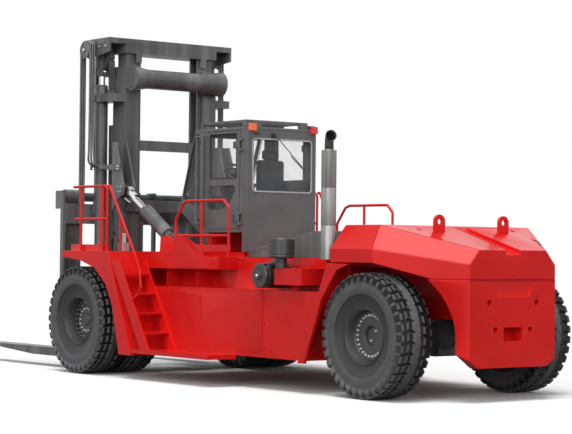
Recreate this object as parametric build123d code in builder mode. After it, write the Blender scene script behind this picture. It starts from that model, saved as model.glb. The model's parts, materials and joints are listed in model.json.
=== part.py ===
from build123d import *
import os
from math import cos, hypot, pi, sin

# Heavy counterbalance forklift truck. Millimetres, +X forward, +Y left, +Z up,
# origin on the ground under the middle of the truck's length.
os.makedirs("parts", exist_ok=True)

# ------------------------------------------------------------------ driving sizes
WHEELBASE = 6050
REAR_REACH = 7250  # front axle to the back of the counterweight
FORK_FACE = 1310  # front axle to the front face of the fork shank
FORK_LENGTH = 2400
GAP = 8  # clearance between pieces that move past each other
SEAT = 0.3  # joint line between seated pieces, and running clearance at pins and hubs

TYRE_R = 800
TYRE_W = 510
TYRE_SHOULDER = 60
RIM_R = 370
DUAL_SPACING = 570
FRONT_WHEEL_Y = 1720  # middle of the outer front tyre
REAR_WHEEL_Y = 1227
KINGPIN_Y = 900

FENDER_Y = 1985  # outer face of the front fenders and stairs
HULL_Y = 1500  # outer face of the hull sides and of the counterweight
CORE_Y = 1150  # side of the central hull, behind the niches
DECK_Z = 1830  # walkway over the front wheels
DECK_REAR_Z = 1765
BELLY_Z = 430
VALANCE_Z = 1590
TANK_TOP_Z = 1335
THICK_PLATE = 45

CAB_HALF = 620
CAB_FLOOR_Z = 1840
CAB_ROOF_Z = 3640
CAB_REAR = 2480  # behind the front axle
CAB_WALL = 45
CAB_STEP = 280  # rise of the footwell floor over the rear sill
GLASS_T = 8

MAST_REAR = 410  # ahead of the front axle
MAST_OUTER_Y = 860
MAST_INNER_Y = 600
RAIL_DEPTH = 350
RAIL_WEB = 42
RAIL_FLANGE = 48
MAST_PIVOT = (330, 640)  # ahead of the front axle, height
OUTER_MAST_BASE_Z = 300
INNER_MAST_BASE_Z = 330
CROSSHEAD_TOP_Z = 5125
CROSSHEAD_H = 225
CROSSHEAD_HALF = 1158
OUTER_MAST_TOP_Z = CROSSHEAD_TOP_Z - CROSSHEAD_H - 200
CYL_Y = 1000  # lift cylinders, ahead of and outside the outer rails
CYL_R = 95
ROD_R = 50

TILT_Y = 980
TILT_HEAD = (190, 2780)  # pin on the mast: ahead of the front axle, height
TILT_BASE = (-1120, 2010)  # pin on the chassis
TILT_PIN_R = 45

# ------------------------------------------------------------------ stations
FRONT_X = (REAR_REACH - FORK_FACE - FORK_LENGTH) / 2
REAR_X = FRONT_X - WHEELBASE
STERN_X = FRONT_X - REAR_REACH
MAST_X = FRONT_X + MAST_REAR
MAST_FRONT_X = MAST_X + RAIL_DEPTH
FORK_X = FRONT_X + FORK_FACE
HUB_Z = TYRE_R
CYL_X = FRONT_X + 860
SIDES = (("left", 1), ("right", -1))


# ------------------------------------------------------------------ shared shapes
def save(builder, name):
    """Labels a finished piece and writes it."""
    builder.part.label = name
    export_step(builder.part, f"parts/{name}.step")


def block(x0, x1, y0, y1, z0, z1, mode=Mode.ADD):
    """A box between two corners."""
    with Locations(((x0 + x1) / 2, (y0 + y1) / 2, (z0 + z1) / 2)):
        Box(abs(x1 - x0), abs(y1 - y0), abs(z1 - z0), mode=mode)


def rod(start, end, radius, mode=Mode.ADD):
    """A round bar from one point to another."""
    axis = Vector(*end) - Vector(*start)
    with BuildSketch(Plane(origin=start, z_dir=axis)) as section:
        Circle(radius)
    extrude(section.sketch, amount=axis.length, mode=mode)


def bar(points, radius, sides=8):
    """A many-sided bar led through a row of points, mitred at its corners."""
    with BuildLine() as route:
        Polyline(*points)
    start = Plane(origin=points[0], z_dir=Vector(*points[1]) - Vector(*points[0]))
    with BuildSketch(start) as section:
        RegularPolygon(radius, sides)
    sweep(section.sketch, path=route.line, transition=Transition.RIGHT)


def side_panel(points, y0, y1, mode=Mode.ADD):
    """A flat outline in the X-Z plane, as thick as from y0 to y1."""
    with BuildSketch(Plane.XZ.offset(-max(y0, y1))) as outline:
        Polygon(*points, align=None)
    extrude(outline.sketch, amount=abs(y1 - y0), mode=mode)


def plan_panel(points, z0, z1, mode=Mode.ADD):
    """A flat outline seen from above, as thick as from z0 to z1."""
    with BuildSketch(Plane.XY.offset(z0)) as outline:
        Polygon(*points, align=None)
    extrude(outline.sketch, amount=z1 - z0, mode=mode)


# ------------------------------------------------------------------ wheels
HUB_R = 205
REAR_HUB_R = 130  # recess in the middle of a rear wheel
DISC_R = 300
LUGS = 18  # in each of a tyre's two rows
LUG_DEPTH = 38
TREAD_HALF = TYRE_W / 2 * 0.94
BEAD_HALF = TYRE_W / 2 * 0.72
BULGE_R = TYRE_R * 0.73
WALL_FACETS = 24


def spin_about_axle(profile, x, z=HUB_Z):
    """Turns a section of (radius, y) points about a wheel's axle."""
    with BuildSketch(Plane.XY.offset(z)) as section:
        with Locations((x, 0)):
            Polygon(*profile, align=None)
    revolve(section.sketch, axis=Axis((x, 0, z), (0, 1, 0)))


def wheel_plane(x, y):
    """A plane across a wheel's axle, its second axis pointing down."""
    return Plane(origin=(x, y, HUB_Z), x_dir=(1, 0, 0), z_dir=(0, 1, 0))


def faceted_spool(stations, x, y, mode=Mode.ADD):
    """A ring of flat facets through stations of (radius, y from the tyre's middle)."""
    sections = []
    for radius, along in stations:
        with BuildSketch(wheel_plane(x, y + along)) as section:
            RegularPolygon(radius, WALL_FACETS, major_radius=False)
        sections.append(section.sketch)
    loft(sections, ruled=True, mode=mode)


def tread_outline(phase):
    """Outline of one row of lugs, their tips as wide as the gaps between them."""
    pitch = 2 * pi / LUGS
    tip_r, root_r = TYRE_R / cos(pitch / 4), TYRE_R - LUG_DEPTH
    points = []
    for lug in range(LUGS):
        middle = (lug + phase) * pitch
        for radius, turn in ((root_r, -0.31), (tip_r, -0.25), (tip_r, 0.25), (root_r, 0.31)):
            points.append((radius * sin(middle + turn * pitch), radius * cos(middle + turn * pitch)))
    return points


def lugged_tyre(x, y):
    """A tyre with two staggered rows of lugs and a lug's flat face on the ground."""
    half = TYRE_W / 2
    shoulder_r = TYRE_R - TYRE_SHOULDER
    faceted_spool(
        [(BULGE_R, -half), (shoulder_r, -TREAD_HALF), (shoulder_r, TREAD_HALF), (BULGE_R, half)], x, y
    )
    for phase, row in ((0, 1), (0.5, -1)):
        with BuildSketch(wheel_plane(x, y)) as section:
            Polygon(*tread_outline(phase), align=None)
        extrude(section.sketch, amount=row * TREAD_HALF)
    dish = (BULGE_R - 20 - RIM_R) / (half - BEAD_HALF)
    mouth = (BULGE_R - 20 + dish * GAP, half + GAP)
    faceted_spool(
        [(mouth[0], -mouth[1]), (RIM_R, -BEAD_HALF), (RIM_R, BEAD_HALF), mouth], x, y, mode=Mode.SUBTRACT
    )


for side, s in SIDES:
    outer, inner = s * FRONT_WHEEL_Y, s * (FRONT_WHEEL_Y - DUAL_SPACING)
    with BuildPart() as tyres:
        for middle in (outer, inner):
            lugged_tyre(FRONT_X, middle)
    save(tyres, f"front_tyres_{side}")
    with BuildPart() as rims:
        spin_about_axle(
            [
                (0, inner - s * 120),
                (RIM_R - 60, inner - s * 120),
                (RIM_R - 60, inner - s * BEAD_HALF),
                (RIM_R - SEAT, inner - s * BEAD_HALF),
                (RIM_R - SEAT, outer + s * BEAD_HALF),
                (RIM_R - 35, outer + s * BEAD_HALF),
                (DISC_R + 15, outer - s * 50),
                (HUB_R, outer - s * 50),
                (HUB_R - 15, outer + s * 45),
                (0, outer + s * 45),
            ],
            FRONT_X,
        )
    save(rims, f"front_rims_{side}")

for side, s in SIDES:
    middle = s * REAR_WHEEL_Y
    with BuildPart() as tyre:
        lugged_tyre(REAR_X, middle)
    save(tyre, f"rear_tyre_{side}")
    with BuildPart() as rim:
        spin_about_axle(
            [
                (0, middle - s * 10),
                (RIM_R - 60, middle - s * 10),
                (RIM_R - 60, middle - s * BEAD_HALF),
                (RIM_R - SEAT, middle - s * BEAD_HALF),
                (RIM_R - SEAT, middle + s * BEAD_HALF),
                (RIM_R - 35, middle + s * BEAD_HALF),
                (DISC_R + 20, middle + s * 60),
                (DISC_R, middle + s * 75),
                (REAR_HUB_R, middle + s * 75),
                (REAR_HUB_R - 10, middle + s * 30),
                (0, middle + s * 30),
            ],
            REAR_X,
        )
    save(rim, f"rear_rim_{side}")

# ------------------------------------------------------------------ axles
AXLE_R = 230
PIN_R = 50
AXLE_SEAT_Z = HUB_Z + 260
STEER_SEAT_Z = HUB_Z + 200
BEAM_IN_Y, BEAM_OUT_Y = 720, 780  # the two side beams of the chassis
DRIVE_END_Y = FRONT_WHEEL_Y - DUAL_SPACING - 120 - SEAT
with BuildPart() as drive_axle:
    # tube with a bulged middle for the final drive
    spin_about_axle(
        [
            (0, -DRIVE_END_Y),
            (AXLE_R - 30, -DRIVE_END_Y),
            (AXLE_R - 30, -420),
            (AXLE_R + 90, -160),
            (AXLE_R + 90, 160),
            (AXLE_R - 30, 420),
            (AXLE_R - 30, DRIVE_END_Y),
            (0, DRIVE_END_Y),
        ],
        FRONT_X,
    )
    for _, s in SIDES:
        block(FRONT_X - 250, FRONT_X + 200, s * 540, s * BEAM_OUT_Y, HUB_Z - 260, AXLE_SEAT_Z)
        # lugs and pins that carry the mast
        pivot_x, pivot_z = FRONT_X + MAST_PIVOT[0], MAST_PIVOT[1]
        for y in (540, 700):
            block(FRONT_X + 190, pivot_x, s * y, s * (y + 50), pivot_z - 68, pivot_z + 68)
            rod((pivot_x, s * y, pivot_z), (pivot_x, s * (y + 50), pivot_z), 68)
        rod((pivot_x, s * 540, pivot_z), (pivot_x, s * 750, pivot_z), PIN_R)
save(drive_axle, "drive_axle")

YOKE_H = 210
STEER_AXLE_END = KINGPIN_Y + 110
STEER_CYL_R, STEER_CYL_HALF = 85, 340
with BuildPart() as steer_axle:
    block(REAR_X - 190, REAR_X + 190, -330, 330, HUB_Z - 260, STEER_SEAT_Z)
    # the cylinder that turns both knuckles, across the back of the axle
    cyl_x, cyl_z = REAR_X - 190 - STEER_CYL_R + 10, HUB_Z - 60
    rod((cyl_x, -STEER_CYL_HALF, cyl_z), (cyl_x, STEER_CYL_HALF, cyl_z), STEER_CYL_R)
    for _, s in SIDES:
        rod((cyl_x, s * (STEER_CYL_HALF - 50), cyl_z), (cyl_x, s * STEER_CYL_HALF, cyl_z), STEER_CYL_R + 15)
    for _, s in SIDES:
        block(REAR_X - 120, REAR_X + 120, s * 300, s * 700, HUB_Z - 270, STEER_SEAT_Z)
        block(REAR_X - 120, REAR_X + 120, s * 600, s * 700, HUB_Z - 270, HUB_Z + 270)
        for z0 in (HUB_Z - YOKE_H - 60, HUB_Z + YOKE_H):
            block(REAR_X - 110, REAR_X + 110, s * 700, s * STEER_AXLE_END, z0, z0 + 60)
save(steer_axle, "steer_axle")

for side, s in SIDES:
    with BuildPart() as knuckle:
        rod(
            (REAR_X, s * KINGPIN_Y, HUB_Z - YOKE_H + SEAT),
            (REAR_X, s * KINGPIN_Y, HUB_Z + YOKE_H - SEAT),
            80,
        )
        rod(
            (REAR_X, s * KINGPIN_Y, HUB_Z),
            (REAR_X, s * (REAR_WHEEL_Y - 10 - SEAT), HUB_Z),
            95,
        )
    save(knuckle, f"knuckle_{side}")

# ------------------------------------------------------------------ chassis
FENDER_TIP = 320
FENDER_REAR_TOP = 920
SKIRT_FRONT = 1240
SKIRT_FOOT_Z = 345
FENDER_IN_Y = 890
RAIL_Y = FENDER_Y - 30
TOE_H = 95
MAST_NOTCH_Y = 1170  # room for the lift cylinders when the mast leans back
SKIRT_REAR = 1560
TYRE_SWING = 1100  # room ahead of the steered axle for its tyres
NECK_Y = 320
NECK_TOP_Z = 1655
ENGINE_BASE_Z = BELLY_Z + 320
BAY_FRONT = REAR_X + 1075
TAIL_END_X = STERN_X + 700
NECK_END_X = STERN_X + 500

DECK_STEP = 2640  # where the walkway drops to its rear level
VALANCE_REAR = 3000
RIB_T = 12
HOOD_BOTTOM_Z = 1715
ARCH_FOOT_Z = 400
ARCH_FRONT_FOOT = WHEELBASE - 1200
ARCH_LEAN = 0.455  # how far the arch panel leans back for each unit of height
# edge of the arch over the steered wheel: ahead of its axle, height
ARCH_LIP = [(1060, ARCH_FOOT_Z), (860, 880), (710, 1250), (410, 1620), (170, 1700)]


def arch_line_x(z):
    """Front edge of the rear arch panel at a height."""
    return FRONT_X - ARCH_FRONT_FOOT - (z - ARCH_FOOT_Z) * ARCH_LEAN


def skirt_x(z):
    """Sloping rear wall of the fender at a height."""
    rise = (z - SKIRT_FOOT_Z) / (DECK_Z - SKIRT_FOOT_Z)
    return FRONT_X - SKIRT_REAR + rise * (SKIRT_REAR - FENDER_REAR_TOP)


with BuildPart() as chassis:
    # two deep beams between the front tyres
    for _, s in SIDES:
        side_panel(
            [
                (FRONT_X + 150, AXLE_SEAT_Z + SEAT),
                (FRONT_X + 150, 1400),
                (FRONT_X - 100, DECK_REAR_Z),
                (BAY_FRONT, DECK_REAR_Z),
                (BAY_FRONT, BELLY_Z + 80),
                (FRONT_X - 450, BELLY_Z + 80),
                (FRONT_X - 450, AXLE_SEAT_Z + SEAT),
            ],
            s * BEAM_IN_Y,
            s * BEAM_OUT_Y,
        )
    # deck and belly plates that join them
    block(FRONT_X - 900, BAY_FRONT, -BEAM_IN_Y, BEAM_IN_Y, DECK_REAR_Z - 40, DECK_REAR_Z)
    block(FRONT_X - 1700, BAY_FRONT, -BEAM_IN_Y, BEAM_IN_Y, BELLY_Z + 80, BELLY_Z + 120)
    for x in (FRONT_X - 480, FRONT_X - 2600, BAY_FRONT):
        block(x, x + 40, -BEAM_IN_Y, BEAM_IN_Y, BELLY_Z + 80, DECK_REAR_Z)
    # engine bearers, and the beams that the cab stands on
    for x in (3300, 4300):
        block(
            FRONT_X - x, FRONT_X - x + 100, -BEAM_IN_Y, BEAM_IN_Y, BELLY_Z + 120, ENGINE_BASE_Z - SEAT
        )
    for x, top in ((2470, CAB_FLOOR_Z), (1520, CAB_FLOOR_Z + CAB_STEP)):
        block(FRONT_X - x, FRONT_X - x + 100, -560, 560, DECK_REAR_Z, top - SEAT)
save(chassis, "chassis")

TAIL_BEAM_H = 50
with BuildPart() as tail_frame:
    # beams that pass over the steered wheels, and the neck that carries their axle
    for _, s in SIDES:
        block(
            TAIL_END_X, BAY_FRONT, s * 420, s * BEAM_OUT_Y, NECK_TOP_Z, NECK_TOP_Z + TAIL_BEAM_H
        )
    for x in (TAIL_END_X, BAY_FRONT - 80):
        block(x, x + 80, -BEAM_OUT_Y, BEAM_OUT_Y, NECK_TOP_Z, NECK_TOP_Z + TAIL_BEAM_H)
    block(NECK_END_X, BAY_FRONT, -NECK_Y, NECK_Y, STEER_SEAT_Z + SEAT, NECK_TOP_Z)
save(tail_frame, "tail_frame")

WHEEL_ARCH = [
    (FRONT_X + FENDER_TIP + 90, DECK_Z - 90),
    (FRONT_X - 150, DECK_Z - 140),
    (FRONT_X - 560, DECK_Z - 250),
    (FRONT_X - 850, DECK_Z - 470),
    (FRONT_X - 1050, DECK_Z - 780),
    (FRONT_X - SKIRT_FRONT, SKIRT_FOOT_Z),
]
with BuildPart() as fenders:
    for _, s in SIDES:
        # wheel arch, skirt and walkway over the dual wheels
        side_panel(
            [
                (FRONT_X + FENDER_TIP, DECK_Z),
                *WHEEL_ARCH,
                (FRONT_X - SKIRT_REAR, SKIRT_FOOT_Z),
                (FRONT_X - FENDER_REAR_TOP, DECK_Z),
            ],
            s * FENDER_Y,
            s * FENDER_IN_Y,
        )
        block(
            FRONT_X + 50, FRONT_X + 600, s * FENDER_IN_Y, s * MAST_NOTCH_Y, DECK_Z - 300, DECK_Z,
            mode=Mode.SUBTRACT,
        )
        side_panel(
            [
                (FRONT_X + FENDER_TIP - 200, DECK_Z - 60),
                (FRONT_X - 180, DECK_Z - 60),
                (FRONT_X - FENDER_REAR_TOP + 40, DECK_Z - 60),
                (FRONT_X - SKIRT_REAR + 60, BELLY_Z - 125),
                (FRONT_X - SKIRT_FRONT - 60, BELLY_Z - 125),
                (FRONT_X - 1120, DECK_Z - 780),
                (FRONT_X - 920, DECK_Z - 430),
                (FRONT_X - 600, DECK_Z - 190),
            ],
            s * (FENDER_Y - 160),
            s * (MAST_NOTCH_Y + 60),
            mode=Mode.SUBTRACT,
        )
        # toe board of the walkway
        block(
            FRONT_X - 860, FRONT_X + 190, s * (RAIL_Y - 36), s * (RAIL_Y - 24), DECK_Z, DECK_Z + TOE_H
        )
save(fenders, "fenders")

# hull sides: the tank, the niche above it and the valance of the walkway
TANK_TAIL_X = REAR_X + TYRE_SWING
TANK_IN_Y = BEAM_OUT_Y + SEAT
with BuildPart() as side_tanks:
    for _, s in SIDES:
        side_panel(
            [
                (skirt_x(BELLY_Z) - SEAT, BELLY_Z),
                (skirt_x(TANK_TOP_Z) - SEAT, TANK_TOP_Z),
                (TANK_TAIL_X, TANK_TOP_Z),
                (TANK_TAIL_X, BELLY_Z),
            ],
            s * TANK_IN_Y,
            s * HULL_Y,
        )
        side_panel(
            [
                (skirt_x(TANK_TOP_Z) - SEAT, TANK_TOP_Z),
                (skirt_x(VALANCE_Z) - SEAT, VALANCE_Z),
                (TANK_TAIL_X, VALANCE_Z),
                (TANK_TAIL_X, TANK_TOP_Z),
            ],
            s * TANK_IN_Y,
            s * CORE_Y,
        )
        side_panel(
            [
                (skirt_x(VALANCE_Z) - SEAT, VALANCE_Z),
                (skirt_x(DECK_Z) - SEAT, DECK_Z),
                (FRONT_X - DECK_STEP, DECK_Z),
                (FRONT_X - DECK_STEP, DECK_REAR_Z),
                (FRONT_X - VALANCE_REAR, DECK_REAR_Z),
                (FRONT_X - VALANCE_REAR, VALANCE_Z),
            ],
            s * TANK_IN_Y,
            s * HULL_Y,
        )
        block(
            FRONT_X - VALANCE_REAR, TANK_TAIL_X, s * TANK_IN_Y, s * CORE_Y, VALANCE_Z, DECK_REAR_Z
        )
        # gussets in the niche, and the stiffening ribs of the tank's side
        for x in (1640, 2380):
            block(
                FRONT_X - x - RIB_T, FRONT_X - x, s * CORE_Y, s * (HULL_Y - 70), TANK_TOP_Z, VALANCE_Z
            )
        for x, z0, z1 in ((2600, 900, 1230), (4020, 480, 1300)):
            block(FRONT_X - x - RIB_T, FRONT_X - x, s * HULL_Y, s * (HULL_Y + RIB_T), z0, z1)
        # side sheet that runs on to the arch panel
        side_panel(
            [
                (TANK_TAIL_X + 100, BELLY_Z),
                (TANK_TAIL_X + 100, TANK_TOP_Z),
                (arch_line_x(TANK_TOP_Z) - 60, TANK_TOP_Z),
                (arch_line_x(BELLY_Z) - 60, BELLY_Z),
            ],
            s * (HULL_Y - THICK_PLATE),
            s * HULL_Y,
        )
save(side_tanks, "side_tanks")

# arch panels ahead of the steered wheels, bolted over the hull sides
with BuildPart() as arch_panels:
    for _, s in SIDES:
        side_panel(
            [(REAR_X + x, z) for x, z in ARCH_LIP] + [
                (arch_line_x(HOOD_BOTTOM_Z - GAP), HOOD_BOTTOM_Z - GAP),
                (arch_line_x(ARCH_FOOT_Z), ARCH_FOOT_Z),
            ],
            s * (HULL_Y + SEAT),
            s * (HULL_Y + THICK_PLATE),
        )
save(arch_panels, "arch_panels")

# ------------------------------------------------------------------ stairs
RAIL_R = 20
RAIL_TOP_Z, RAIL_REAR = DECK_Z + 950, 850


def rail_bar(stations, y):
    """A handrail's bar through stations of (behind the front axle, height)."""
    bar([(FRONT_X - x, y, z) for x, z in stations], RAIL_R)


STEP_Z = BELLY_Z + 10
RUNNING_BOARD_REAR = 3450
TREAD_Z = (690, 965, 1240, 1515)
STAIR_HEAD_Z = DECK_Z - 130
STAIR_RUN = 800  # from the head of the flight back to its foot
with BuildPart() as stairs:
    for _, s in SIDES:
        for y0 in (FENDER_Y - 30, HULL_Y + SEAT):
            side_panel(
                [
                    (FRONT_X - 1010, STAIR_HEAD_Z),
                    (FRONT_X - 1210, STAIR_HEAD_Z),
                    (FRONT_X - 1210 - STAIR_RUN, STEP_Z),
                    (FRONT_X - 1010 - STAIR_RUN, STEP_Z),
                ],
                s * y0,
                s * (y0 + 30),
            )
        for z in TREAD_Z:
            x = FRONT_X - 1105 - STAIR_RUN * (STAIR_HEAD_Z - z) / (STAIR_HEAD_Z - STEP_Z)
            block(x - 110, x + 110, s * (HULL_Y + 30), s * (FENDER_Y - 30), z - 30, z)
        block(
            FRONT_X - RUNNING_BOARD_REAR,
            FRONT_X - SKIRT_REAR - 5,
            s * (HULL_Y + SEAT),
            s * FENDER_Y,
            STEP_Z - 60,
            STEP_Z,
        )
        # handrail that runs down from the walkway to the outer stringer
        y = s * RAIL_Y
        rail_bar(
            [
                (RAIL_REAR + RAIL_R + SEAT, RAIL_TOP_Z), (910, RAIL_TOP_Z), (1230, 2310), (1550, 1860),
                (1720, 1590), (1760, 1330), (1700, 1220), (1490, 1120),
            ],
            y,
        )
        rail_bar([(1220, 1500), (1220, 2320)], y)
save(stairs, "stairs")

# ------------------------------------------------------------------ counterweight
BAND_FOLD_Z = 1890
STERN_FOLD_Z = 1710
SEAM_Z = 1525
TOP_Z = 2200
TOP_STERN_Z = 1895
TOP_HALF = 1300
HOOD_FRONT = 5450
SHOULDER = 6280
STERN_HALF = 740
BAY_R = 1060
TOP_FOLD = 6200  # where the top begins to fall away to the stern
CHANNEL_HALF, CHANNEL_DEPTH = 120, 55


def top_z(distance):
    """Height of the counterweight's top, this far behind the front axle."""
    return TOP_Z - (distance - TOP_FOLD) * (TOP_Z - TOP_STERN_Z) / (REAR_REACH - TOP_FOLD)


with BuildPart() as counterweight:
    side_panel(
        [
            (FRONT_X - HOOD_FRONT, HOOD_BOTTOM_Z),
            (FRONT_X - SHOULDER, HOOD_BOTTOM_Z),
            (FRONT_X - 6870, SEAM_Z),
            (STERN_X, SEAM_Z),
            (STERN_X, TOP_Z),
            (FRONT_X - HOOD_FRONT - 70, TOP_Z),
            (FRONT_X - HOOD_FRONT, BAND_FOLD_Z),
        ],
        -HULL_Y,
        HULL_Y,
    )
    # the four-sided slopes of the casting, each cut by one plane
    top_slope = Plane(
        origin=(FRONT_X - TOP_FOLD, 0, TOP_Z),
        x_dir=(0, 1, 0),
        z_dir=(-(TOP_Z - TOP_STERN_Z), 0, REAR_REACH - TOP_FOLD),
    )
    split(bisect_by=top_slope, keep=Keep.BOTTOM)
    for _, s in SIDES:
        split(
            bisect_by=Plane(
                origin=(0, s * HULL_Y, BAND_FOLD_Z),
                x_dir=(1, 0, 0),
                z_dir=(0, s * (TOP_Z - BAND_FOLD_Z), HULL_Y - TOP_HALF),
            ),
            keep=Keep.BOTTOM,
        )
        shoulder = Vector(FRONT_X - SHOULDER, s * HULL_Y, BAND_FOLD_Z)
        stern = Vector(STERN_X, s * STERN_HALF, STERN_FOLD_Z)
        crown = Vector(FRONT_X - TOP_FOLD, s * TOP_HALF, TOP_Z)
        along = stern - shoulder
        normal = along.cross(crown - shoulder) * s
        split(bisect_by=Plane(origin=shoulder, x_dir=along, z_dir=normal), keep=Keep.BOTTOM)
        flat_normal = Vector(-(HULL_Y - STERN_HALF), s * (REAR_REACH - SHOULDER), 0)
        split(bisect_by=Plane(origin=shoulder, x_dir=(0, 0, 1), z_dir=flat_normal), keep=Keep.BOTTOM)
    # room for the tail beams of the chassis
    block(
        TAIL_END_X - GAP, FRONT_X - HOOD_FRONT, -BEAM_OUT_Y - GAP, BEAM_OUT_Y + GAP,
        SEAM_Z, DECK_REAR_Z + SEAT,
        mode=Mode.SUBTRACT,
    )
    block(
        NECK_END_X - SEAT, TAIL_END_X, -NECK_Y - SEAT, NECK_Y + SEAT, SEAM_Z, NECK_TOP_Z + SEAT,
        mode=Mode.SUBTRACT,
    )
    # shallow channel down the middle of the top
    side_panel(
        [
            (FRONT_X - 6230, TOP_Z + GAP),
            (FRONT_X - 6330, top_z(6330) - CHANNEL_DEPTH),
            (STERN_X - GAP, top_z(REAR_REACH + GAP) - CHANNEL_DEPTH),
            (STERN_X - GAP, TOP_Z + GAP),
        ],
        -CHANNEL_HALF,
        CHANNEL_HALF,
        mode=Mode.SUBTRACT,
    )
    # lashing slots beside the lifting eyes
    for _, s in SIDES:
        for x in (6350, 6760):
            block(
                FRONT_X - x - 70, FRONT_X - x, s * 800, s * 840, top_z(x) - 120, TOP_Z + GAP,
                mode=Mode.SUBTRACT,
            )
save(counterweight, "counterweight")

NOTCH_DEPTH = 25
STERN_HOLE_R = 36
LOWER_FRONT, LOWER_FRONT_HALF = REAR_REACH - 690, 1200
with BuildPart() as lower_weight:
    plan_panel(
        [
            (FRONT_X - LOWER_FRONT, NECK_Y),
            (FRONT_X - LOWER_FRONT, LOWER_FRONT_HALF),
            (FRONT_X - LOWER_FRONT - 300, 1045),
            (STERN_X, STERN_HALF),
            (STERN_X, -STERN_HALF),
            (FRONT_X - LOWER_FRONT - 300, -1045),
            (FRONT_X - LOWER_FRONT, -LOWER_FRONT_HALF),
            (FRONT_X - LOWER_FRONT, -NECK_Y),
        ],
        BELLY_Z,
        SEAM_Z - SEAT,
    )
    rod((REAR_X, NECK_Y, HUB_Z), (REAR_X, HULL_Y, HUB_Z), BAY_R, mode=Mode.SUBTRACT)
    rod((REAR_X, -NECK_Y, HUB_Z), (REAR_X, -HULL_Y, HUB_Z), BAY_R, mode=Mode.SUBTRACT)
    for _, s in SIDES:
        block(REAR_X - BAY_R, REAR_X, s * NECK_Y, s * HULL_Y, BELLY_Z, HUB_Z, mode=Mode.SUBTRACT)
        # bottom corner of the stern, cut off
        with BuildSketch(Plane.YZ.offset(STERN_X)):
            Polygon(
                (s * (STERN_HALF - 140), BELLY_Z),
                (s * (STERN_HALF + 460), BELLY_Z + 420),
                (s * (STERN_HALF + 460), BELLY_Z),
                align=None,
            )
        extrude(amount=BAY_R, mode=Mode.SUBTRACT)
        for y, z in ((410, 1240), (300, 900)):
            rod((STERN_X, s * y, z), (STERN_X + 60, s * y, z), STERN_HOLE_R, mode=Mode.SUBTRACT)
    block(NECK_END_X - SEAT, REAR_X, -NECK_Y, NECK_Y, BELLY_Z, SEAM_Z, mode=Mode.SUBTRACT)
    # towing pocket, and the notched top of the thick stern plate
    block(STERN_X, STERN_X + 200, -160, 160, 760, 930, mode=Mode.SUBTRACT)
    with BuildSketch(Plane.YZ.offset(STERN_X)):
        Polygon(
            (260, 1310), (380, 1470), (STERN_HALF, 1470), (STERN_HALF, SEAM_Z),
            (-STERN_HALF, SEAM_Z), (-STERN_HALF, 1470), (-380, 1470), (-260, 1310),
            align=None,
        )
    extrude(amount=NOTCH_DEPTH, mode=Mode.SUBTRACT)
save(lower_weight, "lower_weight")

EYE_R, EYE_HOLE_R, EYE_T = 90, 36, 40
EYE_BACK, EYE_Y = 6480, 560
EYE_X, EYE_Z = FRONT_X - EYE_BACK, top_z(EYE_BACK) + 130
with BuildPart() as lifting_eyes:
    for _, s in SIDES:
        with BuildSketch(Plane.YZ.offset(EYE_X - EYE_T / 2)):
            with Locations((s * EYE_Y, EYE_Z)):
                Circle(EYE_R)
            with Locations((s * EYE_Y, EYE_Z - 80)):
                Rectangle(2 * EYE_R, 160)
            with Locations((s * EYE_Y, EYE_Z)):
                Circle(EYE_HOLE_R, mode=Mode.SUBTRACT)
        extrude(amount=EYE_T)
    split(bisect_by=top_slope.offset(SEAT), keep=Keep.TOP)
save(lifting_eyes, "lifting_eyes")

# ------------------------------------------------------------------ engine and its hood
ENGINE_HOOD_FRONT = 3150
with BuildPart() as engine:
    block(FRONT_X - 2900, FRONT_X - 4700, -420, 420, ENGINE_BASE_Z, DECK_REAR_Z - 60)
save(engine, "engine")

with BuildPart() as engine_hood:
    side_panel(
        [
            (FRONT_X - ENGINE_HOOD_FRONT, DECK_REAR_Z + SEAT),
            (FRONT_X - ENGINE_HOOD_FRONT, DECK_REAR_Z + 90),
            (FRONT_X - 4600, TOP_Z - 75),
            (FRONT_X - HOOD_FRONT + SEAT, TOP_Z - 75),
            (FRONT_X - HOOD_FRONT + SEAT, DECK_REAR_Z + SEAT),
        ],
        -CORE_Y + 60,
        CORE_Y - 60,
    )
save(engine_hood, "engine_hood")

EXHAUST_X, EXHAUST_Y = FRONT_X - 5310, 1415
GUARD_R, GUARD_TOP_Z, PIPE_R = 98, 3160, 56
with BuildPart() as exhaust:
    rod((EXHAUST_X, EXHAUST_Y, 1750), (EXHAUST_X, EXHAUST_Y, GUARD_TOP_Z), GUARD_R)
    # outlet, turned to the rear
    bar(
        [
            (EXHAUST_X, EXHAUST_Y, GUARD_TOP_Z),
            (EXHAUST_X, EXHAUST_Y, GUARD_TOP_Z + 150),
            (EXHAUST_X - 75, EXHAUST_Y, GUARD_TOP_Z + 210),
            (EXHAUST_X - 130, EXHAUST_Y, GUARD_TOP_Z + 210),
        ],
        PIPE_R,
        sides=16,
    )
    rod(
        (EXHAUST_X - 130, EXHAUST_Y, GUARD_TOP_Z + 210),
        (EXHAUST_X - 60, EXHAUST_Y, GUARD_TOP_Z + 210),
        PIPE_R - 6,
        mode=Mode.SUBTRACT,
    )
    block(EXHAUST_X - 60, EXHAUST_X + 60, CORE_Y - 60 + SEAT, EXHAUST_Y, 1780, 1860)
save(exhaust, "exhaust")

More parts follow.
